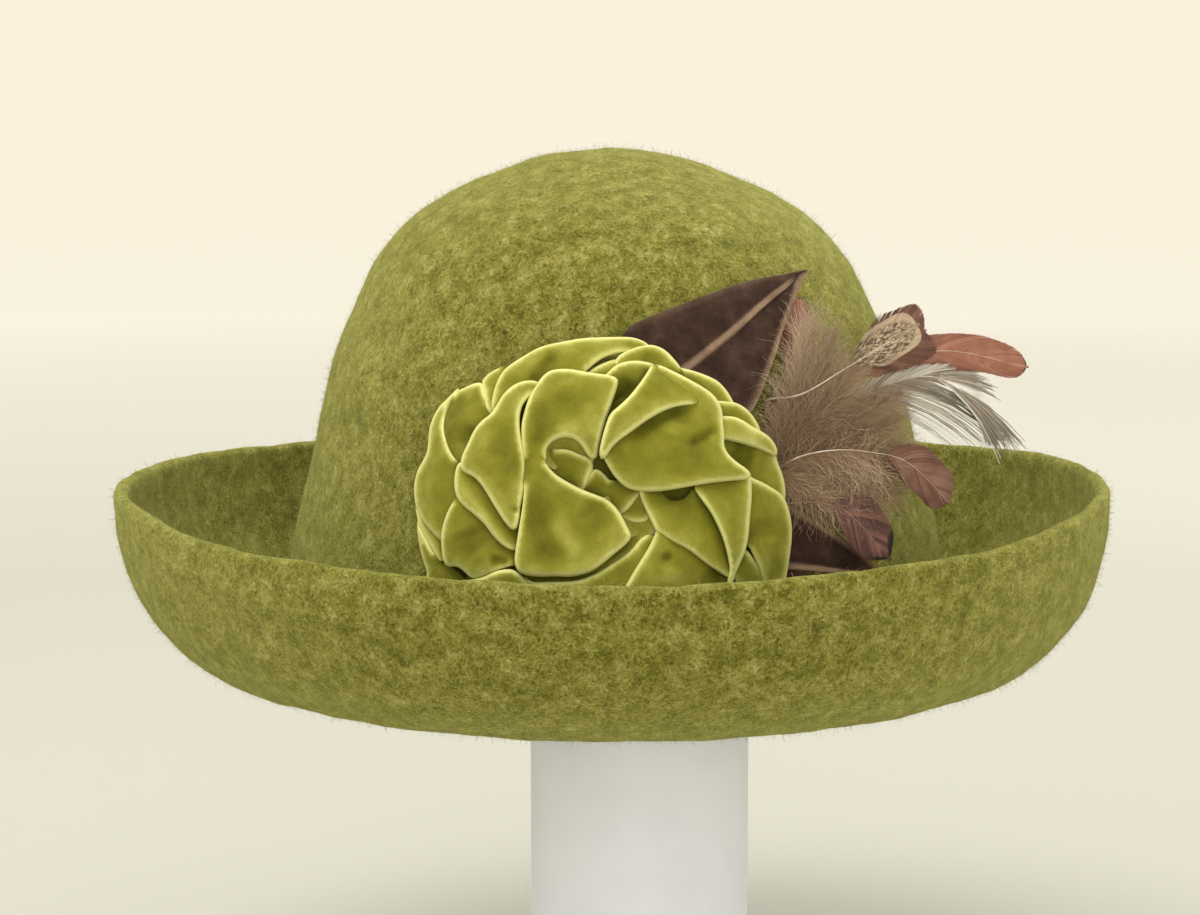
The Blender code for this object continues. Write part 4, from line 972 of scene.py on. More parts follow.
def fold_piece(fold, number):
    """Points, faces and tones, with painted light and shade, of one folded loop: a soft top, a rolled hem and
    a closed back.
    """
    dips = np.array([dip[0] if dip else 0.0 for _, _, *dip in fold["edge"]])
    edge = read_from_photo([(x, y) for x, y, *_ in fold["edge"]], fold["level"] + dips)
    loop = softened_loop(np.column_stack([edge, dips]), FOLD_STEP)
    hem = fold["thick"] / 2
    flat, faces, origins, inward = flat_fill(loop[:, :2], hem)
    order = {source[0]: i for i, source in enumerate(origins) if source and source[0] < len(loop)}
    closed = np.vstack([loop, loop[:1]])
    gaps = np.linalg.norm(flat[:, None, :] - loop[None, :, :2], axis=2) + 0.02
    weights = gaps ** -2.6
    dip = (weights * loop[None, :, 2]).sum(axis=1) / weights.sum(axis=1)
    to_edge, _ = path_distance(flat, closed[:, :2])
    free = loop[:, 2] > -0.7
    to_hem = gaps[:, free].min(axis=1) if free.any() else np.full(len(flat), 99.0)
    to_hem = np.where(to_hem < FOLD_STEP * 0.8, np.maximum(np.minimum(to_hem, to_edge), 0), to_hem)
    to_tuck = gaps[:, ~free].min(axis=1) if (~free).any() else np.full(len(flat), 99.0)
    lift = fold_lift(flat) + fold["level"] + dip + 1.1 * (1 - np.exp(-to_edge / 4.0)) - 0.5
    lift += 0.55 * np.exp(-((to_hem - 1.3) / 1.2) ** 2)
    rounded = np.clip(1 - to_hem / hem, 0, 1)
    lift -= hem * (1 - np.sqrt(1 - rounded ** 2))
    # Painted highlight: a free hem and the face just inside it are painted paler. Painted shade: the face
    # near a tuck is painted darker.
    tone = FACE_TONE + HEM_PAINTED_HIGHLIGHT * np.exp(-(to_hem / 0.95) ** 2)
    tone += HEM_PAINTED_GLOW * np.exp(-to_hem / 2.6) - TUCK_SHADE * np.exp(-to_tuck / 2.5)
    for depth, width, path in fold.get("creases", ()):
        gap, where = path_distance(flat, read_from_photo(path, fold["level"]))
        eased = np.sin(np.clip(np.minimum(where, 1 - where) * 3.2 + 0.05, 0, 1) * math.pi / 2) ** 2
        mark = np.exp(-(gap / width) ** 2) * eased
        lift += depth * mark
        # A crease's ridge is painted paler and its groove darker, as painted highlight and shade.
        broad = np.exp(-(gap / (width * 1.35)) ** 2) * eased
        tone += broad * math.copysign(CREASE_PAINTED_LIGHT_AND_SHADE, depth) * min(abs(depth), 1.3)
    drift = Vector((number * 7.3, number * 3.1, 0.0))
    for height, width in ((0.30, 7.0), (0.07, 1.8)):
        lift += [height * noise.noise(Vector((*p, 0.0)) / width + drift) for p in flat]
    top = rosette_place(flat, lift)
    points, tones = [top], [tone]
    rings = [[order[i] for i in range(len(loop))]]
    edge_lift = lift[rings[0]]
    # The rolled sides are painted darker as they drop under the fold, as painted shade, and a free hem's
    # upper side paler, as painted highlight.
    for drop, inset in ((0.45, 0.0), (0.85, 0.12), (1.0, 0.35)):
        start = sum(len(p) for p in points)
        points.append(rosette_place(loop[:, :2] + inward * inset * hem, edge_lift - drop * fold["thick"]))
        tones.append(np.full(len(loop), 0.42 - 0.3 * drop) + 0.3 * free * (1 - drop))
        rings.append(list(range(start, start + len(loop))))
    a, b, c = (flat[i] for i in faces[0])
    made = [tuple(face) if np.cross(b - a, c - a) > 0 else tuple(face[::-1]) for face in faces]
    outwards_spun = signed_area(loop) > 0
    for upper, lower in zip(rings, rings[1:]):
        for i, j in ring_of(len(loop)):
            side = (upper[i], lower[i], lower[j], upper[j])
            made.append(side if outwards_spun else side[::-1])
    # The back closes on the hem's last ring with the flat outline's own triangles.
    outline = [Vector(p) for p in loop[:, :2]]
    _, _, back, sources, *_ = geometry.delaunay_2d_cdt(outline, ring_of(len(loop)), [], 1, 1e-5)
    for face in back:
        corners = [rings[-1][sources[i][0]] for i in face if sources[i]]
        if len(corners) == 3:
            a, b, c = (loop[sources[i][0], :2] for i in face)
            made.append(tuple(corners[::-1]) if np.cross(b - a, c - a) > 0 else tuple(corners))
    return np.vstack(points), made, np.concatenate(tones)


def silk_velvet():
    # Silk velvet ribbon: a short dense pile. Its colour comes from the folds' tones, which carry painted
    # highlights along free hems and ridges and painted shade in grooves, near tucks and down the rolled
    # sides. The pile lies in soft clouds some 5 mm across. Its grain is finer than the render shows, so it is
    # drawn at 0.35 mm.
    material, tree, shader = new_material("silk_velvet_pile")
    place = add_node(tree, "ShaderNodeTexCoord").outputs["Object"]
    pile_and_painted_light = add_node(tree, "ShaderNodeAttribute", attribute_name="pile_and_painted_light")
    cloud = add_node(tree, "ShaderNodeTexNoise",
                     {"Vector": place, "Scale": 190.0, "Detail": 3.0, "Roughness": 0.55})
    grain = add_node(tree, "ShaderNodeTexNoise", {"Vector": place, "Scale": 2600.0, "Detail": 2.0})
    lifted = add_node(tree, "ShaderNodeMath", {0: cloud.outputs["Fac"], 1: 0.26, 2: pile_and_painted_light.outputs["Fac"]},
                      operation="MULTIPLY_ADD")
    tone = add_node(tree, "ShaderNodeMath", {0: grain.outputs["Fac"], 1: 0.16, 2: lifted.outputs[0]},
                    operation="MULTIPLY_ADD")
    level = add_node(tree, "ShaderNodeMath", {0: tone.outputs[0], 1: 0.21}, operation="SUBTRACT")
    colour = colour_stops(add_node(tree, "ShaderNodeValToRGB", {"Fac": level.outputs[0]}), (
        (0.00, "#1f1e00"), (0.20, "#545204"), (0.42, "#7d7b20"), (0.62, "#a3a14a"), (0.88, "#dad88c"),
    ))
    bump = add_node(tree, "ShaderNodeBump",
                    {"Height": grain.outputs["Fac"], "Distance": 0.0002, "Strength": 0.5})
    give(tree, shader, {
        "Base Color": colour.outputs["Color"], "Normal": bump.outputs["Normal"],
        "Roughness": 0.80, "Specular IOR Level": 0.20,
        "Sheen Weight": 0.40, "Sheen Roughness": 0.35, "Sheen Tint": "#d9d978",
    })
    return material


def joined(parts):
    """One list of points and one of faces from parts that have their own."""
    points, faces, start = [], [], 0
    for part_points, part_faces in parts:
        points.append(part_points)
        faces += [tuple(i + start for i in face) for face in part_faces]
        start += len(part_points)
    return np.vstack(points), faces


velvet = silk_velvet()
fold_parts = [fold_piece(fold, i) for i, fold in enumerate(FOLDS)]
rosette = place_mesh("velvet_folds", *joined([part[:2] for part in fold_parts]), velvet, smooth_angle=60.0)
put_attribute(rosette, "pile_and_painted_light", np.concatenate([tones for _, _, tones in fold_parts]))
pad_points, pad_faces = spun(PAD_OUTLINE, PAD_FACETS)
pad_points = np.array(pad_points)
pad_points = rosette_place(pad_points[:, :2], pad_points[:, 2])
pad = place_mesh("velvet_pad", pad_points, pad_faces, velvet, smooth_angle=60.0)
put_attribute(pad, "pile_and_painted_light", np.full(len(pad_points), PAD_TONE))
for piece in (rosette, pad):
    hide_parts("velvet_rosette")
    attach(piece, "root")


# Velvet leaves.
# Two leaves stamped from brown velvet on a stiff backing. Each has a paler rib strip pressed along its middle
# and a turned pale edge. Their bases are tucked under the rosette and sewn to the crown, and their tips stand
# free.
LEAF_THICKNESS = 0.0012
RIB_WIDTH = 0.0026
RIB_HEIGHT = 0.0009
EDGE_WIDTH = 0.0014
LEAF_WAVE = 0.0013
TIP_CURL = 0.0015
# Leaf outlines: share of the length, widths above and below the rib as shares of the length. Spines: turn in
# degrees, height as a share of the crown's, metres off the felt. "over_edge" is how pale the upper edge is.
LEAVES = (
    {"name": "upper", "length": 0.072, "over_edge": 0.15,
     "outline": ((0.00, 0.080, 0.080), (0.12, 0.210, 0.215), (0.25, 0.248, 0.275), (0.38, 0.222, 0.285),
                 (0.50, 0.175, 0.222), (0.65, 0.108, 0.136), (0.80, 0.055, 0.070), (0.93, 0.020, 0.024),
                 (1.00, 0.004, 0.004)),
     "spine": ((4.0, 0.560, 0.0011), (14.0, 0.638, 0.0036), (31.5, 0.745, 0.0052), (45.9, 0.799, 0.0045))},
    {"name": "lower", "length": 0.058, "over_edge": 0.9,
     "outline": ((0.00, 0.070, 0.070), (0.20, 0.250, 0.180), (0.35, 0.310, 0.210), (0.50, 0.295, 0.200),
                 (0.76, 0.155, 0.120), (0.92, 0.045, 0.040), (1.00, 0.005, 0.005)),
     "spine": ((14.0, 0.284, 0.0011), (28.0, 0.272, 0.0038), (45.5, 0.236, 0.0098))},
)


def walked(turn, height, right, up):
    """The turn and height reached by going right and up along the crown's felt."""
    below, above = felt_radius(height - up * 0.5), felt_radius(height + up * 0.5)
    steep = np.abs(up) / np.maximum(np.hypot(up, above - below), 1e-9)
    steep = np.where(np.abs(up) < 1e-7, 1.0, steep)
    return turn + np.degrees(right / felt_radius(height + up * steep)), height + up * steep


def leaf_piece(leaf, material, rows=96, half_columns=18):
    """A thin closed plate with a rounded rib and turned edges, shaped over the crown."""
    marks = np.array(leaf["spine"]) * (1.0, CROWN_HEIGHT, 1.0)
    spine = spline(marks, rows)
    steps = np.gradient(spine, axis=0)
    heading = np.arctan2(steps[:, 1], np.radians(steps[:, 0]) * felt_radius(spine[:, 1]))
    share = np.linspace(0, 1, rows)
    outline = spline(leaf["outline"], 200)
    over = np.interp(share, outline[:, 0], outline[:, 1]) * leaf["length"]
    under = np.interp(share, outline[:, 0], outline[:, 2]) * leaf["length"]
    across = np.concatenate([np.linspace(-1, 0, half_columns), np.linspace(0, 1, half_columns)[1:]])
    across = np.sign(across) * np.abs(across) ** 1.35
    side = np.where(across[None, :] < 0, across[None, :] * under[:, None], across[None, :] * over[:, None])
    width = np.where(across[None, :] < 0, under[:, None], over[:, None])
    to_edge = width - np.abs(side)
    rib = np.exp(-(side / (RIB_WIDTH / 2 * (1 - 0.55 * share[:, None]))) ** 6)
    rib *= np.clip((0.93 - share[:, None]) / 0.12, 0, 1)
    edge = np.exp(-(to_edge / EDGE_WIDTH) ** 4)
    waves = np.array([
        [noise.noise(Vector((s * 5.5, a * 1.4, len(leaf["name"])))) for a in across] for s in share
    ])
    fall = np.where(width > 1e-6, np.abs(side) / np.maximum(width, 1e-6), 0.0)
    back = LEAF_THICKNESS / 2 + 0.00035 * edge + waves * LEAF_WAVE * fall
    back += 0.0016 * fall * (1 - fall) * 4 * np.sin(share * math.pi)[:, None] * 0.35
    back += spine[:, 2:3] + TIP_CURL * np.clip((share - 0.86) / 0.14, 0, 1)[:, None] ** 2
    turn, height = walked(spine[:, :1], spine[:, 1:2], -np.sin(heading)[:, None] * side,
                          np.cos(heading)[:, None] * side)
    trim = edge * np.where(side < 0, 1.0, leaf["over_edge"])
    layers, tones = [], []
    for lift, tone in ((back + RIB_HEIGHT * rib, np.maximum(rib, trim)), (back - LEAF_THICKNESS, trim)):
        layers.append(off_crown(turn, height, lift).reshape(-1, 3))
        tones.append(tone.ravel())
    columns = len(across)
    count = rows * columns
    faces = []
    for i in range(rows - 1):
        for j in range(columns - 1):
            a = i * columns + j
            faces.append((a, a + columns, a + columns + 1, a + 1))
            faces.append((count + a, count + a + 1, count + a + columns + 1, count + a + columns))
    border = list(range(columns))
    border += [i * columns + columns - 1 for i in range(1, rows)]
    border += [(rows - 1) * columns + j for j in range(columns - 2, -1, -1)]
    border += [i * columns for i in range(rows - 2, 0, -1)]
    for a, b in zip(border, border[1:] + border[:1]):
        faces.append((a, b, count + b, count + a))
    piece = place_mesh(f"leaf_{leaf['name']}", np.vstack(layers), faces, material, smooth_angle=70.0)
    put_attribute(piece, "trim", np.concatenate(tones))
    return piece


def turn_outwards(piece):
    """Points all the faces of a closed piece outwards."""
    bm = bmesh.new()
    bm.from_mesh(piece.data)
    bmesh.ops.recalc_face_normals(bm, faces=bm.faces)
    bm.to_mesh(piece.data)
    bm.free()


def leaf_velvet():
    # Brown cotton velvet on buckram: a short matt nap with a plum cast, brushed in clouds of some 6 mm. The
    # rib and the turned edge show the paler cut of the pile. Its fine grain is drawn at 0.45 mm, to show.
    material, tree, shader = new_material("brown_leaf_velvet")
    place = add_node(tree, "ShaderNodeTexCoord").outputs["Object"]
    trim = add_node(tree, "ShaderNodeAttribute", attribute_name="trim")
    cloud = add_node(tree, "ShaderNodeTexNoise",
                     {"Vector": place, "Scale": 170.0, "Detail": 4.0, "Roughness": 0.6})
    grain = add_node(tree, "ShaderNodeTexNoise", {"Vector": place, "Scale": 2200.0, "Detail": 2.0})
    nap = add_node(tree, "ShaderNodeMath", {0: grain.outputs["Fac"], 1: 0.35, 2: cloud.outputs["Fac"]},
                   operation="MULTIPLY_ADD")
    face = colour_stops(add_node(tree, "ShaderNodeValToRGB", {"Fac": nap.outputs[0]}),
                        ((0.45, "#241711"), (0.66, "#35231a"), (0.90, "#4a352a")))
    pale = colour_stops(add_node(tree, "ShaderNodeValToRGB", {"Fac": nap.outputs[0]}),
                        ((0.45, "#735c48"), (0.90, "#9a8069")))
    mixed = add_node(tree, "ShaderNodeMix", {0: trim.outputs["Fac"], 6: face.outputs["Color"],
                                             7: pale.outputs["Color"]}, data_type="RGBA")
    bump = add_node(tree, "ShaderNodeBump",
                    {"Height": grain.outputs["Fac"], "Distance": 0.0002, "Strength": 0.5})
    give(tree, shader, {
        "Base Color": mixed.outputs[2], "Normal": bump.outputs["Normal"],
        "Roughness": 0.85, "Specular IOR Level": 0.2,
        "Sheen Weight": 0.35, "Sheen Roughness": 0.4, "Sheen Tint": "#c8a890",
    })
    return material


brown_velvet = leaf_velvet()
for leaf in LEAVES:
    piece = leaf_piece(leaf, brown_velvet)
    turn_outwards(piece)
    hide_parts(f"velvet_leaf_{leaf['name']}")
    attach(piece, "root")


# Feathers.
# Seven small body and wing feathers of game birds: a horny quill with a vane of fine barbs on each side,
# downy at its foot. Their quills are bound together and sewn to the crown under the rosette, and the vanes
# sweep to the right.
QUILL_RADIUS = 0.00036
QUILL_TAPER = 0.92
QUILL_POINTS = 60
QUILL_FACETS = 8
VANE_BARBS = 230
BARB_WIDTH = 0.00042
BARB_SEGMENTS = 5
# Barbs grow by turns from a little over and a little under the quill's middle.
BARB_STAGGER = 0.0001
# The share of a vane, from its foot, whose barbs are downy, and how wide they are beside the others.
DOWNY_FOOT = 0.10
DOWNY_WIDTH = 0.45
# Points that a quill is reckoned at, for its barbs' feet.
SPINE_POINTS = 400
# What every strip of a vane or of down carries.
STRIP_VECTORS = ("root", "heading", "across", "lift")
STRIP_NUMBERS = ("length", "bend", "cup", "width", "along", "tone")
# Each feather: its finish, half the width of its vane and what its two sides have of that, the share of the
# quill where the vane starts, how blunt its tip is, the barbs' angle to the quill in degrees at the foot and
# at the tip, how loose they are, how far they bow, how far the tip turns to the front, and the spine as for a
# leaf.
FEATHERS = (
    {"name": "rust_long", "look": "rust", "vane": 0.0060, "sides": (0.95, 1.15),
     "start": 0.50, "blunt": 1.70, "lean": (30, 13), "loose": 0.12, "bow": 0.08, "front": 0.8,
     "spine": (
         (28.5, 0.515, 0.0010), (37.0, 0.550, 0.0024), (46.0, 0.600, 0.0060), (56.5, 0.650, 0.0290),
         (66.0, 0.614, 0.0460),
     )},
    {"name": "mauve_round", "look": "mauve", "vane": 0.0098, "sides": (1.0, 1.0),
     "start": 0.64, "blunt": 1.20, "lean": (56, 26), "loose": 0.2, "bow": 0.16, "front": 0.6,
     "spine": (
         (28.0, 0.545, 0.0010), (35.0, 0.580, 0.0026), (41.5, 0.610, 0.0070), (48.2, 0.660, 0.0210),
         (52.2, 0.692, 0.0320),
     )},
    {"name": "mottled", "look": "mottled", "vane": 0.0070, "sides": (1.0, 1.0),
     "start": 0.55, "blunt": 1.00, "lean": (44, 24), "loose": 0.1, "bow": 0.16, "front": 0.6,
     "spine": (
         (29.5, 0.570, 0.0010), (33.0, 0.584, 0.0105), (39.9, 0.628, 0.0175), (44.0, 0.668, 0.0265),
         (47.6, 0.709, 0.0370),
     )},
    {"name": "grey_plume", "look": "grey", "vane": 0.0078, "sides": (0.40, 1.7),
     "start": 0.38, "blunt": 0.30, "lean": (22, 9), "loose": 0.9, "bow": -0.05, "front": 0.5,
     "spine": (
         (28.5, 0.485, 0.0010), (36.0, 0.505, 0.0022), (45.0, 0.555, 0.0050), (54.0, 0.602, 0.0220),
         (58.0, 0.575, 0.0300), (62.6, 0.478, 0.0350),
     )},
    {"name": "white_quill", "look": "mauve", "vane": 0.0066, "sides": (1.15, 1.0),
     "start": 0.74, "blunt": 2.20, "lean": (44, 24), "loose": 0.2, "bow": 0.14, "front": 0.6,
     "spine": (
         (27.0, 0.430, 0.0010), (29.0, 0.452, 0.0045), (31.9, 0.474, 0.0100), (35.3, 0.485, 0.0170),
         (39.6, 0.480, 0.0215), (45.6, 0.455, 0.0240), (51.9, 0.374, 0.0260),
     )},
    {"name": "rust_low", "look": "rust_dark", "vane": 0.0074, "sides": (1.0, 1.0),
     "start": 0.56, "blunt": 1.10, "lean": (54, 28), "loose": 0.2, "bow": 0.16, "front": 0.7,
     "spine": (
         (26.0, 0.375, 0.0010), (30.0, 0.384, 0.0045), (34.0, 0.384, 0.0100), (37.2, 0.364, 0.0140),
         (40.8, 0.284, 0.0195),
     )},
    {"name": "rust_tip", "look": "rust", "vane": 0.0062, "sides": (1.1, 0.9),
     "start": 0.30, "blunt": 0.10, "lean": (44, 20), "loose": 0.3, "bow": 0.14, "front": 0.0,
     "spine": (
         (28.5, 0.551, 0.0012), (33.7, 0.612, 0.0016), (38.4, 0.664, 0.0024), (41.2, 0.705, 0.0032),
         (42.3, 0.745, 0.0042),
     )},
)


def strand_tree():
    """Turns points that carry a heading, a length and a bend into thin strips, for barbs and for down."""
    tree = bpy.data.node_groups.new("barb_strips", "GeometryNodeTree")
    socket_in(tree, "Roots", "NodeSocketGeometry")
    socket_in(tree, "Segments", "NodeSocketInt")
    for name in ("Curl", "Curl turns"):
        socket_in(tree, name, "NodeSocketFloat")
    socket_in(tree, "Finish", "NodeSocketMaterial")
    tree.interface.new_socket(name="Strips", in_out="OUTPUT", socket_type="NodeSocketGeometry")
    given = add_node(tree, "NodeGroupInput").outputs

    columns = add_node(tree, "ShaderNodeMath", {0: given["Segments"], 1: 1.0}, operation="ADD")
    strip = add_node(tree, "GeometryNodeMeshGrid", {
        "Size X": 1.0, "Size Y": 1.0, "Vertices X": columns.outputs[0], "Vertices Y": 2}).outputs["Mesh"]
    corner = add_node(tree, "GeometryNodeInputPosition")
    spot = add_node(tree, "ShaderNodeSeparateXYZ", {0: corner.outputs[0]})
    outward = add_node(tree, "ShaderNodeMath", {0: spot.outputs["X"], 1: 0.5}, operation="ADD")
    for name, share in (("out", outward.outputs[0]), ("half", spot.outputs["Y"])):
        marked = add_node(tree, "GeometryNodeStoreNamedAttribute",
                          {"Geometry": strip, "Name": name, "Value": share},
                          data_type="FLOAT", domain="POINT")
        strip = marked.outputs["Geometry"]
    placed = add_node(tree, "GeometryNodeInstanceOnPoints", {"Points": given["Roots"], "Instance": strip})
    real = add_node(tree, "GeometryNodeRealizeInstances", {"Geometry": placed.outputs["Instances"]})

    value = {"Curl": given["Curl"], "Curl turns": given["Curl turns"]}
    numbers = ("out", "half", "length", "bend", "cup", "width", "tone")
    for kind, names in (("FLOAT_VECTOR", STRIP_VECTORS), ("FLOAT", numbers)):
        for name in names:
            field = add_node(tree, "GeometryNodeInputNamedAttribute", {"Name": name}, data_type=kind)
            value[name] = field.outputs["Attribute"]
    # Sums for each point of a strip: a name, an operation, and what goes in.
    for name, operation, *parts in (
        ("reach", "MULTIPLY", "out", "length"),
        ("out squared", "POWER", "out", 2.0),
        ("square", "MULTIPLY", "out squared", "length"),
        ("bowed", "MULTIPLY", "square", "bend"),
        ("cupped", "MULTIPLY", "square", "cup"),
        ("turned", "MULTIPLY", "out", "Curl turns"),
        ("own start", "MULTIPLY", "tone", 40.0),
        ("wind", "MULTIPLY_ADD", "turned", math.tau, "own start"),
        ("curl reach", "MULTIPLY", "Curl", "length"),
        ("sway", "MULTIPLY", "curl reach", "out"),
        ("sine", "SINE", "wind"),
        ("cosine", "COSINE", "wind"),
        ("curled across", "MULTIPLY", "sine", "sway"),
        ("curled up", "MULTIPLY", "cosine", "sway"),
        ("out cubed", "POWER", "out", 3.0),
        ("thinned", "MULTIPLY", "out cubed", 0.60),
        ("taper", "SUBTRACT", 1.0, "thinned"),
        ("half width", "MULTIPLY", "half", "width"),
        ("tapered", "MULTIPLY", "half width", "taper"),
    ):
        inputs = {i: value[part] if isinstance(part, str) else part for i, part in enumerate(parts)}
        value[name] = add_node(tree, "ShaderNodeMath", inputs, operation=operation).outputs[0]
    place = value["root"]
    for direction, amount in (
        ("heading", "reach"), ("across", "bowed"), ("lift", "cupped"),
        ("across", "curled across"), ("lift", "curled up"), ("across", "tapered"),
    ):
        step = add_node(tree, "ShaderNodeVectorMath", {"Vector": value[direction], "Scale": value[amount]},
                        operation="SCALE")
        moved = add_node(tree, "ShaderNodeVectorMath", {0: place, 1: step.outputs[0]}, operation="ADD")
        place = moved.outputs[0]
    laid = add_node(tree, "GeometryNodeSetPosition",
                    {"Geometry": real.outputs[0], "Position": place}).outputs[0]
    for name in (*STRIP_VECTORS, "length", "bend", "cup", "width", "half"):
        laid = add_node(tree, "GeometryNodeRemoveAttribute", {"Geometry": laid, "Name": name}).outputs[0]
    coated = add_node(tree, "GeometryNodeSetMaterial", {"Geometry": laid, "Material": given["Finish"]})
    add_node(tree, "NodeGroupOutput", {0: coated.outputs["Geometry"]})
    return tree


def strands(name, rows, tree, curl, curl_turns, finish):
    """Strips from a dictionary of what they carry, one row for each strip."""
    mesh = bpy.data.meshes.new(name + "_roots")
    mesh.from_pydata([tuple(p) for p in rows["root"]], [], [])
    for key, values in rows.items():
        values = np.asarray(values, dtype=np.float32)
        if values.ndim == 2:
            mesh.attributes.new(key, "FLOAT_VECTOR", "POINT").data.foreach_set("vector", values.ravel())
        else:
            mesh.attributes.new(key, "FLOAT", "POINT").data.foreach_set("value", values)
    roots = bpy.data.objects.new(name + "_roots", mesh)
    bpy.context.scene.collection.objects.link(roots)
    piece = made_by_nodes(name, roots, tree, {
        "Segments": BARB_SEGMENTS, "Curl": curl, "Curl turns": curl_turns, "Finish": finish})
    bpy.data.objects.remove(roots)
    piece.data.shade_smooth()
    return piece


def unit(vectors):
    """Vectors of the same directions, one metre long."""
    return vectors / np.maximum(np.linalg.norm(vectors, axis=-1, keepdims=True), 1e-12)


def off_axis(places):
    """Level directions from the hat's axis to places, not brought to one length."""
    return (places + (HAT_SHIFT, 0.0, 0.0)) * (1.0, 1.0, 0.0)


def quill_frame(feather, count):
    """Points of a quill with its forward, sideways and outward directions. Its tip turns to the front."""
    marks = np.array([off_crown(turn, up * CROWN_HEIGHT, off) for turn, up, off in feather["spine"]])
    place = spline(marks, count)
    forward = unit(np.gradient(place, axis=0))
    away = unit(off_axis(place))
    front = feather["front"] * np.linspace(0, 1, count)[:, None]
    away = away * (1 - front) + np.array((0.0, -1.0, 0.15)) * front
    side = unit(np.cross(forward, away))
    return place, forward, side, unit(np.cross(side, forward))


def vane_swell(share, blunt):
    """How wide a vane is at a share of its length, from its foot to its rounded tip."""
    opening = np.sin(math.pi / 2 * np.clip(share / 0.45, 0.0, 1.0))
    closing = np.maximum(share - 0.5, 0.0) / 0.5
    return opening * np.sqrt(np.maximum(1 - closing ** (2 + 4 * blunt), 0.0))


def barb_length(root, lean, reach, blunt, long):
    """How long a barb grows from a share of the vane until it meets the vane's outline."""
    near, far = 0.0, reach / math.sin(lean) * 1.6
    # Halved until the outline is met.
    for _ in range(18):
        half = (near + far) / 2
        share = root + half * math.cos(lean) / long
        wide = reach * float(vane_swell(np.array(min(share, 1.0)), blunt))
        if share < 1 and half * math.sin(lean) < wide + 0.0002:
            near = half
        else:
            far = half
    return near


def vane_rows(feather, chance, barbs):
    """The barbs of both sides of a vane, parted here and there, with a few downy ones at its foot."""
    place, forward, side, out = quill_frame(feather, SPINE_POINTS)
    last = SPINE_POINTS - 1
    steps = np.linalg.norm(np.diff(place, axis=0), axis=1)
    rows = {key: [] for key in STRIP_VECTORS + STRIP_NUMBERS}
    start = feather["start"]
    long = float(steps[int(start * last):].sum())
    for hand, wider in zip((-1.0, 1.0), feather["sides"]):
        clump_lean, clump_tone = 0.0, 0.5
        for k in range(barbs):
            share = (k + chance.random() * 0.4) / barbs
            if chance.random() < 0.07:
                clump_lean = chance.normal() * 3.0 * feather["loose"]
                clump_tone = chance.random()
            i = int((start + (1 - start) * share) * last)
            lean = feather["lean"][0] + (feather["lean"][1] - feather["lean"][0]) * share + clump_lean
            lean = math.radians(max(lean + chance.normal() * 0.8 * feather["loose"], 7))
            reach = feather["vane"] * wider
            length = barb_length(share, lean, reach, feather["blunt"], long)
            length = max(length * (1 + chance.normal() * 0.05 * feather["loose"]), 0.0010)
            downy = share < DOWNY_FOOT
            rows["root"].append(place[i] + out[i] * BARB_STAGGER * (1 - 2 * (k % 2)))
            rows["heading"].append(forward[i] * math.cos(lean) + side[i] * hand * math.sin(lean))
            rows["across"].append(side[i] * -hand * math.cos(lean) + forward[i] * math.sin(lean))
            rows["lift"].append(out[i])
            rows["length"].append(length)
            end = min(i + int(length / long * (1 - start) * last), last)
            follow = -0.45 * hand * float(forward[end] @ side[i])
            rows["bend"].append(feather["bow"] + follow + chance.normal() * 0.03 * feather["loose"])
            droop = -0.08 + 0.4 * float(forward[end] @ out[i])
            rows["cup"].append(droop + (0.03 * feather["loose"] + (0.06 if downy else 0.0)) * chance.normal())
            rows["width"].append(BARB_WIDTH * (DOWNY_WIDTH if downy else 1.0) * (0.9 + 0.2 * chance.random()))
            rows["along"].append(share)
            rows["tone"].append(0.70 * clump_tone + 0.30 * chance.random())
    return rows


def tube(places, radii, facets):
    """Points and faces of a closed tapering tube along places."""
    forward = unit(np.gradient(places, axis=0))
    side = unit(np.cross(forward, (0.0, -1.0, 0.2)))
    out = np.cross(side, forward)
    turns = np.arange(facets) * math.tau / facets
    spokes = np.cos(turns)[None, :, None] * side[:, None, :] + np.sin(turns)[None, :, None] * out[:, None, :]
    rings = places[:, None, :] + radii[:, None, None] * spokes
    faces = [tuple(range(facets)), tuple(range(len(places) * facets - 1, (len(places) - 1) * facets - 1, -1))]
    for i in range(len(places) - 1):
        for j in range(facets):
            k = (j + 1) % facets
            faces.append((i * facets + j, i * facets + k, (i + 1) * facets + k, (i + 1) * facets + j))
    return rings.reshape(-1, 3), faces


def horny_quill(name, stops):
    # Keratin of a feather's shaft: smooth and slightly glossy, creamy on pale feathers, brown on dark ones.
    material, tree, shader = new_material(name)
    place = add_node(tree, "ShaderNodeTexCoord").outputs["Object"]
    streak = add_node(tree, "ShaderNodeTexNoise", {"Vector": place, "Scale": 240.0, "Detail": 2.0})
    colour = colour_stops(add_node(tree, "ShaderNodeValToRGB", {"Fac": streak.outputs["Fac"]}), stops)
    give(tree, shader, {"Base Color": colour.outputs["Color"], "Roughness": 0.45, "IOR": 1.54})
    return material


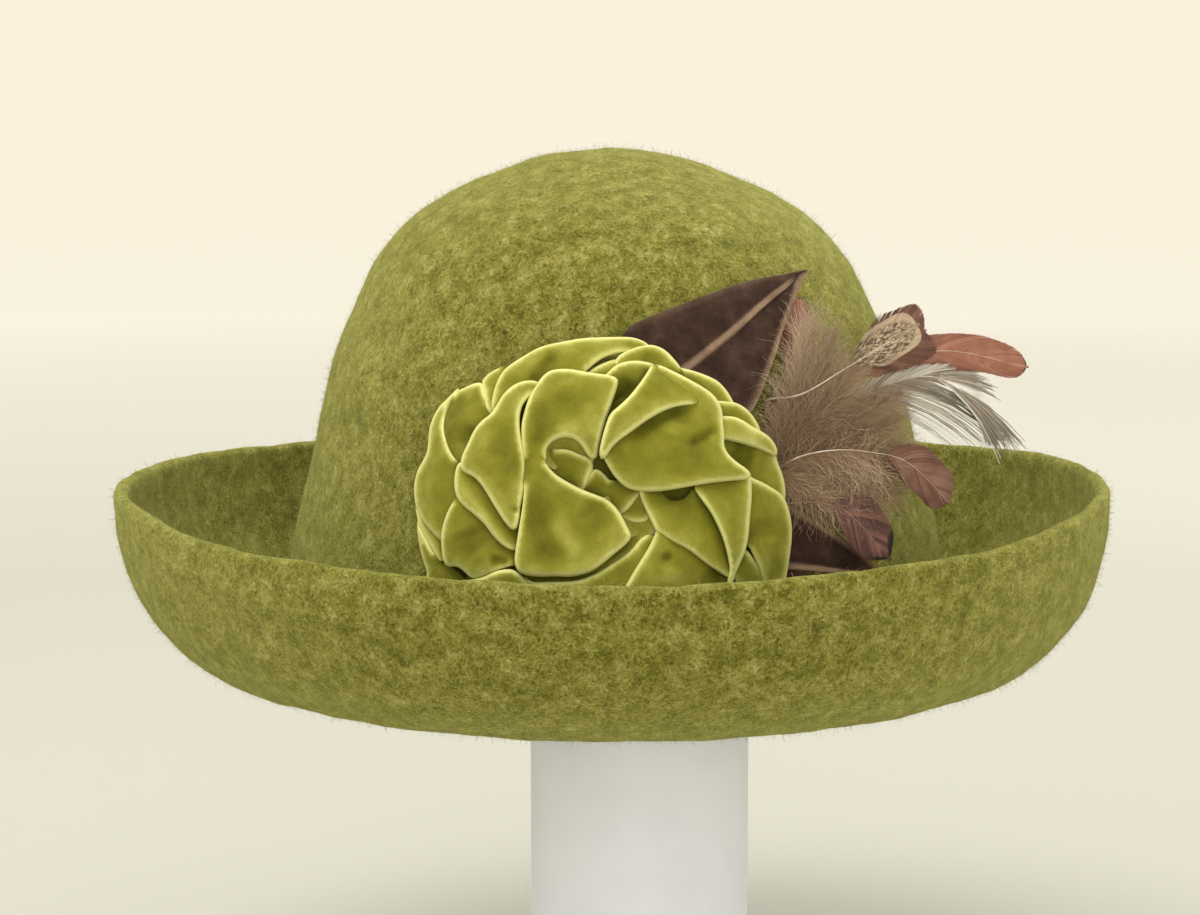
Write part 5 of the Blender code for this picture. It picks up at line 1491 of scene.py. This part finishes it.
def feather_vane(name, stops, clouds=0.5, border=None, border_from=1.0, marks=None):
    # Barbs of feather keratin with melanin: each is a shade of its own, silky along its length. The border
    # and the marks follow the vane's outline, since they lie at like places on all the barbs.
    material, tree, shader = new_material(name)
    place = add_node(tree, "ShaderNodeTexCoord").outputs["Object"]
    tone = add_node(tree, "ShaderNodeAttribute", attribute_name="tone")
    out = add_node(tree, "ShaderNodeAttribute", attribute_name="out")
    along = add_node(tree, "ShaderNodeAttribute", attribute_name="along")
    cloud = add_node(tree, "ShaderNodeTexNoise", {"Vector": place, "Scale": 240.0, "Detail": 3.0})
    soft = add_node(tree, "ShaderNodeMath", {0: cloud.outputs["Fac"], 1: clouds, 2: 0.5 - clouds / 2},
                    operation="MULTIPLY_ADD")
    level = add_node(tree, "ShaderNodeMath", {0: tone.outputs["Fac"], 1: 0.55, 2: soft.outputs[0]},
                     operation="MULTIPLY_ADD")
    level = add_node(tree, "ShaderNodeMath", {0: level.outputs[0], 1: 0.27}, operation="SUBTRACT")
    shade = colour_stops(add_node(tree, "ShaderNodeValToRGB", {"Fac": level.outputs[0]}), stops)
    colour = shade.outputs["Color"]
    if marks:
        rows = add_node(tree, "ShaderNodeMath", {0: along.outputs["Fac"], 1: 14.0}, operation="MULTIPLY")
        columns = add_node(tree, "ShaderNodeMath", {0: out.outputs["Fac"], 1: 9.0}, operation="MULTIPLY")
        spot = add_node(tree, "ShaderNodeCombineXYZ", {"X": rows.outputs[0], "Y": columns.outputs[0]})
        bars = add_node(tree, "ShaderNodeTexNoise",
                        {"Vector": spot.outputs[0], "Scale": 1.0, "Detail": 2.0, "Distortion": 1.4})
        mask = add_node(tree, "ShaderNodeMapRange",
                        {"Value": bars.outputs["Fac"], 1: 0.45, 2: 0.57, 3: 0.92, 4: 0.0})
        inner = add_node(tree, "ShaderNodeMapRange",
                         {"Value": out.outputs["Fac"], 1: 0.66, 2: 0.82, 3: 1.0, 4: 0.0})
        both = add_node(tree, "ShaderNodeMath", {0: mask.outputs["Result"], 1: inner.outputs["Result"]},
                        operation="MULTIPLY")
        colour = add_node(tree, "ShaderNodeMix", {0: both.outputs[0], 6: colour, 7: marks},
                          data_type="RGBA").outputs[2]
    if border:
        rim = add_node(tree, "ShaderNodeMath", {0: along.outputs["Fac"], 1: 0.55}, operation="MULTIPLY")
        rim = add_node(tree, "ShaderNodeMath", {0: out.outputs["Fac"], 1: 0.55, 2: rim.outputs[0]},
                       operation="MULTIPLY_ADD")
        ragged = add_node(tree, "ShaderNodeMath", {0: cloud.outputs["Fac"], 1: 0.30, 2: rim.outputs[0]},
                          operation="MULTIPLY_ADD")
        mask = add_node(tree, "ShaderNodeMapRange",
                        {"Value": ragged.outputs[0], 1: border_from, 2: border_from + 0.06})
        colour = add_node(tree, "ShaderNodeMix", {0: mask.outputs["Result"], 6: colour, 7: border},
                          data_type="RGBA").outputs[2]
    give(tree, shader, {"Base Color": colour, "Roughness": 0.60, "Specular IOR Level": 0.30,
                        "Sheen Weight": 0.15})
    return material


strips = strand_tree()
keratin = horny_quill("pale_quill_keratin", ((0.35, "#b5a08a"), (0.65, "#ddd2c2")))
brown_keratin = horny_quill("brown_quill_keratin", ((0.35, "#7c5a48"), (0.65, "#a3806a")))
VANE_FINISHES = {
    "rust": feather_vane(
        "rust_feather_vane", ((0.20, "#7b4b3c"), (0.50, "#98634f"), (0.80, "#b18169")),
        border="#231512", border_from=1.10),
    "rust_dark": feather_vane(
        "dark_rust_feather_vane", ((0.25, "#41261f"), (0.50, "#65423a"), (0.75, "#8a5a47")),
        border="#18100d", border_from=0.98),
    "mauve": feather_vane(
        "mauve_feather_vane", ((0.20, "#5f4035"), (0.50, "#785143"), (0.80, "#9d7868"))),
    "mottled": feather_vane(
        "mottled_feather_vane", ((0.20, "#aa937a"), (0.50, "#bda689"), (0.80, "#d8c7ac")),
        marks="#54422f"),
    "grey": feather_vane(
        "grey_feather_vane", ((0.20, "#64584a"), (0.38, "#978b7d"), (0.54, "#c9c2b6"), (0.70, "#eeebe4")),
        clouds=0.15),
}
PALE_QUILLS = ("mottled", "grey_plume", "white_quill", "rust_long")
for number, feather in enumerate(FEATHERS):
    chance = np.random.default_rng(40 + number)
    vane = strands(f"{feather['name']}_vane", vane_rows(feather, chance, VANE_BARBS), strips, 0.0, 0.0,
                   VANE_FINISHES[feather["look"]])
    place, _, _, out = quill_frame(feather, QUILL_POINTS)
    radii = QUILL_RADIUS * (1 - QUILL_TAPER * np.linspace(0, 1, QUILL_POINTS) ** 0.8)
    quill = place_mesh(f"{feather['name']}_quill", *tube(place + out * BARB_STAGGER, radii, QUILL_FACETS),
                       keratin if feather["name"] in PALE_QUILLS else brown_keratin, smooth_angle=60.0)
    turn_outwards(quill)
    for piece in (vane, quill):
        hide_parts(f"feather_{feather['name']}")
        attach(piece, "root")


# Down tuft.
# A bunch of marabou-like down at the foot of the feathers: short soft shafts whose barbs never hook together,
# so they float apart in a haze. It is bound in with the quills under the rosette's right side.
DOWN_REACH = 0.036
# Where the down starts: turn in degrees, height as a share of the crown's, metres off the felt.
DOWN_ROOT = (27.0, 0.447, 0.0030)
# Plumes of down: degrees above the level, length as a share of the reach, metres off the felt at the tip.
DOWN_PLUMES = (
    (64, 0.90, 0.0075), (61, 1.18, 0.0100), (60, 1.06, 0.0125), (57, 1.26, 0.0085), (54, 0.96, 0.0140),
    (51, 1.20, 0.0115), (48, 1.04, 0.0150), (45, 1.26, 0.0125), (41, 0.96, 0.0165), (38, 1.20, 0.0140),
    (34, 1.04, 0.0120), (30, 1.20, 0.0170), (26, 0.98, 0.0140), (22, 1.16, 0.0120), (18, 1.00, 0.0165),
    (13, 1.14, 0.0140), (8, 0.98, 0.0160), (3, 1.08, 0.0125), (-3, 0.96, 0.0160), (-9, 1.00, 0.0130),
    (-15, 0.86, 0.0150), (-22, 0.80, 0.0120), (-30, 0.68, 0.0130), (-40, 0.50, 0.0100),
)
DOWN_BARBS = 620
# A barb's length and width, each as the least and what chance adds, and its lean off the shaft in degrees.
DOWN_LENGTHS = (0.0045, 0.0070)
DOWN_WIDTHS = (0.00006, 0.00005)
DOWN_LEAN = (24, 52)
DOWN_CURL = 0.09
DOWN_CURL_TURNS = 1.8
SHAFT_POINTS = 40
SHAFT_RADII = (0.00022, 0.00006)
SHAFT_FACETS = 5
# Downy barbs that hang below the arched quill: from and to as shares of it, their length and number.
VEIL_SPAN = (0.12, 0.70)
VEIL_LENGTH = 0.0160
VEIL_BARBS = 420


def down_rows(chance):
    """The floating barbs of every plume of down and of the arched quill, and the plumes' shafts."""
    rows = {key: [] for key in STRIP_VECTORS + STRIP_NUMBERS}
    shafts = []

    def grow(root, heading, away, length, at, tone):
        """Adds one barb from its foot on a shaft or quill."""
        flat = unit(away - heading * (heading @ away))
        rows["root"].append(root)
        rows["heading"].append(heading)
        rows["across"].append(np.cross(heading, flat))
        rows["lift"].append(flat)
        rows["length"].append(length)
        rows["bend"].append(0.40 * chance.normal())
        rows["cup"].append(0.22 * chance.normal())
        rows["width"].append(DOWN_WIDTHS[0] + DOWN_WIDTHS[1] * chance.random())
        rows["along"].append(at)
        rows["tone"].append(tone)

    for rise, share, off in DOWN_PLUMES:
        steps = np.linspace(0, 1, SHAFT_POINTS)
        reach = share * DOWN_REACH
        sway = math.radians(rise) + np.radians(7 * chance.normal()) * steps
        right, up = np.cos(sway) * reach * steps, np.sin(sway) * reach * steps
        turn, height = walked(DOWN_ROOT[0], DOWN_ROOT[1] * CROWN_HEIGHT, right, up)
        place = off_crown(turn, height, DOWN_ROOT[2] + (off - DOWN_ROOT[2]) * steps ** 1.2)
        forward = unit(np.gradient(place, axis=0))
        away = unit(off_axis(place))
        side = unit(np.cross(forward, away))
        shafts.append(place)
        tint = 0.35 * chance.random()
        # Painted light: plumes that rise higher are painted paler towards their tips, as if sunlit.
        painted_sunlight = 0.35 * max(math.sin(math.radians(rise + 20)), 0.0)
        for k in range(DOWN_BARBS):
            at = 0.05 + 0.95 * ((k + chance.random()) / DOWN_BARBS)
            i = min(int(at * (SHAFT_POINTS - 1)), SHAFT_POINTS - 1)
            around = chance.random() * math.tau
            lean = math.radians(DOWN_LEAN[0] + DOWN_LEAN[1] * chance.random()) * (1 - 0.30 * at)
            across = side[i] * math.cos(around) + away[i] * math.sin(around) * 0.6
            length = DOWN_LENGTHS[0] + DOWN_LENGTHS[1] * chance.random()
            length *= 0.65 + 0.6 * math.sin(math.pi * min(at, 0.8))
            heading = unit(forward[i] * math.cos(lean) + across * math.sin(lean))
            grow(place[i], heading, away[i], length, at, tint + 0.35 * chance.random() + painted_sunlight * at)
    arched = next(feather for feather in FEATHERS if feather["name"] == "white_quill")
    place, forward, side, out = quill_frame(arched, SPINE_POINTS)
    low = -1.0 if side[SPINE_POINTS // 2][2] > 0 else 1.0
    for k in range(VEIL_BARBS):
        at = VEIL_SPAN[0] + (VEIL_SPAN[1] - VEIL_SPAN[0]) * (k + chance.random()) / VEIL_BARBS
        i = int(at * (SPINE_POINTS - 1))
        lean = math.radians(58 + 14 * chance.normal())
        hand = low if chance.random() < 0.86 else -low
        heading = forward[i] * math.cos(lean) + side[i] * hand * math.sin(lean)
        heading -= out[i] * 0.25 * chance.random()
        length = VEIL_LENGTH * (0.55 + 0.45 * chance.random()) * (1.0 if hand == low else 0.45)
        grow(place[i], unit(heading), out[i], length, at, 0.35 + 0.5 * chance.random())
    return rows, shafts


def marabou_down():
    # Undyed down: pale taupe barbs with darker feet, dull and very thin, so the mass looks like a haze.
    # The tone also carries painted light, paler towards the tips of the rising plumes.
    material, tree, shader = new_material("taupe_down_barbs")
    tone = add_node(tree, "ShaderNodeAttribute", attribute_name="tone")
    out = add_node(tree, "ShaderNodeAttribute", attribute_name="out")
    pale = add_node(tree, "ShaderNodeMath", {0: out.outputs["Fac"], 1: 0.35, 2: tone.outputs["Fac"]},
                    operation="MULTIPLY_ADD")
    colour = colour_stops(add_node(tree, "ShaderNodeValToRGB", {"Fac": pale.outputs[0]}), (
        (0.08, "#432f1d"), (0.36, "#70553b"), (0.70, "#a08366"), (1.00, "#c9b398"),
    ))
    give(tree, shader, {"Base Color": colour.outputs["Color"], "Roughness": 0.8, "Specular IOR Level": 0.2,
                        "Sheen Weight": 0.3})
    return material


fluff, shaft_lines = down_rows(np.random.default_rng(77))
down = strands("down_barbs", fluff, strips, DOWN_CURL, DOWN_CURL_TURNS, marabou_down())
shaft_radii = np.linspace(*SHAFT_RADII, SHAFT_POINTS)
shaft_parts = [tube(line, shaft_radii, SHAFT_FACETS) for line in shaft_lines]
shafts = place_mesh("down_shafts", *joined(shaft_parts), keratin, smooth_angle=60.0)
turn_outwards(shafts)
for piece in (down, shafts):
    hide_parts("down_tuft")
    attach(piece, "root")


# Studio.
# A large pale floor that sweeps up far off, and a camera at the photo's own angle and distance. The main soft
# light is high in front on the left, a weaker one low in front fills the shade, and a third one behind on the
# right lights the edges.
PHOTO_SIZE = (1200, 915)
SENSOR_WIDTH = 36.0
FAR_CLIP = 200.0
# Lights: name, place, width in metres, watts and colour.
LIGHTS = (
    ("key", (-0.42, -0.40, 1.62), 0.9, 13.2, "#fffdf8"),
    ("fill", (0.30, -2.20, 0.45), 0.85, 10.5, "#fffefa"),
    ("rim", (0.55, 1.15, 1.15), 0.8, 5.0, "#ffffff"),
)
FLOOR_RADIUS = 5.0
SWEEP_RADIUS = 3.0
SWEEP_STEPS = 12
FLOOR_FACETS = 96
# The floor lies this far under the base.
FLOOR_GAP = 0.0002


def studio():
    """Puts the camera, the lights and the air's own light in the scene."""
    scene = bpy.context.scene
    scene.view_settings.view_transform = "Standard"
    aim = Vector(CAMERA_AIM)
    right = Vector((1, 0, 0))
    up = Vector((0, math.sin(CAMERA_TILT), math.cos(CAMERA_TILT)))
    eye = aim + Vector((0, -math.cos(CAMERA_TILT), math.sin(CAMERA_TILT))) * CAMERA_DISTANCE
    pixel = CAMERA_DISTANCE / FOCAL_PIXELS
    aim += right * (PHOTO_SIZE[0] / 2 - AIM_PIXEL[0]) * pixel
    aim += up * (AIM_PIXEL[1] - PHOTO_SIZE[1] / 2) * pixel
    camera = bpy.data.objects.new("camera", bpy.data.cameras.new("camera"))
    camera.data.sensor_width = SENSOR_WIDTH
    camera.data.lens = FOCAL_PIXELS / PHOTO_SIZE[0] * SENSOR_WIDTH
    camera.data.clip_end = FAR_CLIP
    camera.location = eye
    camera.rotation_euler = (aim - eye).to_track_quat("-Z", "Y").to_euler()
    scene.collection.objects.link(camera)
    scene.camera = camera
    for name, place, size, power, colour in LIGHTS:
        light = bpy.data.objects.new(name, bpy.data.lights.new(name, "AREA"))
        light.data.size = size
        light.data.energy = power
        light.data.color = linear(colour)[:3]
        light.location = place
        light.rotation_euler = (aim - light.location).to_track_quat("-Z", "Y").to_euler()
        scene.collection.objects.link(light)
    world = bpy.data.worlds.new("studio_air")
    scene.world = world
    world.use_nodes = True
    give(world.node_tree, world.node_tree.nodes["Background"], {"Color": "#fffdf6", "Strength": 1.0})


def floor_paper():
    # Matt backdrop paper, pale and slightly warm. It is painted greyer under the object than far off, as a
    # painted shadow.
    material, tree, shader = new_material("matt_backdrop_paper")
    place = add_node(tree, "ShaderNodeTexCoord").outputs["Object"]
    reach = add_node(tree, "ShaderNodeVectorMath", {0: place}, operation="LENGTH")
    share = add_node(tree, "ShaderNodeMapRange", {"Value": reach.outputs["Value"], 1: 0.2, 2: 8.0})
    # The ramp paints the floor darker near the middle, under the object: painted shadow.
    tint = colour_stops(add_node(tree, "ShaderNodeValToRGB", {"Fac": share.outputs["Result"]}),
                        ((0.0, "#c3c2b7"), (0.09, "#c6c4b8"), (0.30, "#f6f2e6"), (0.60, "#fbf6ea")))
    give(tree, shader, {"Base Color": tint.outputs["Color"], "Roughness": 1.0, "Specular IOR Level": 0.0})
    return material


studio()
sweep_turns = [math.pi / 2 * step / SWEEP_STEPS for step in range(SWEEP_STEPS, -1, -1)]
floor_outline = [
    *[(FLOOR_RADIUS + SWEEP_RADIUS * math.sin(t), SWEEP_RADIUS * (1 - math.cos(t)) - FLOOR_GAP)
      for t in sweep_turns],
    (1.0, -FLOOR_GAP),
    (0.0, -FLOOR_GAP),
]
floor = place_mesh("floor", *spun(floor_outline, FLOOR_FACETS), floor_paper(), smooth_angle=80.0)
floor.data.flip_normals()
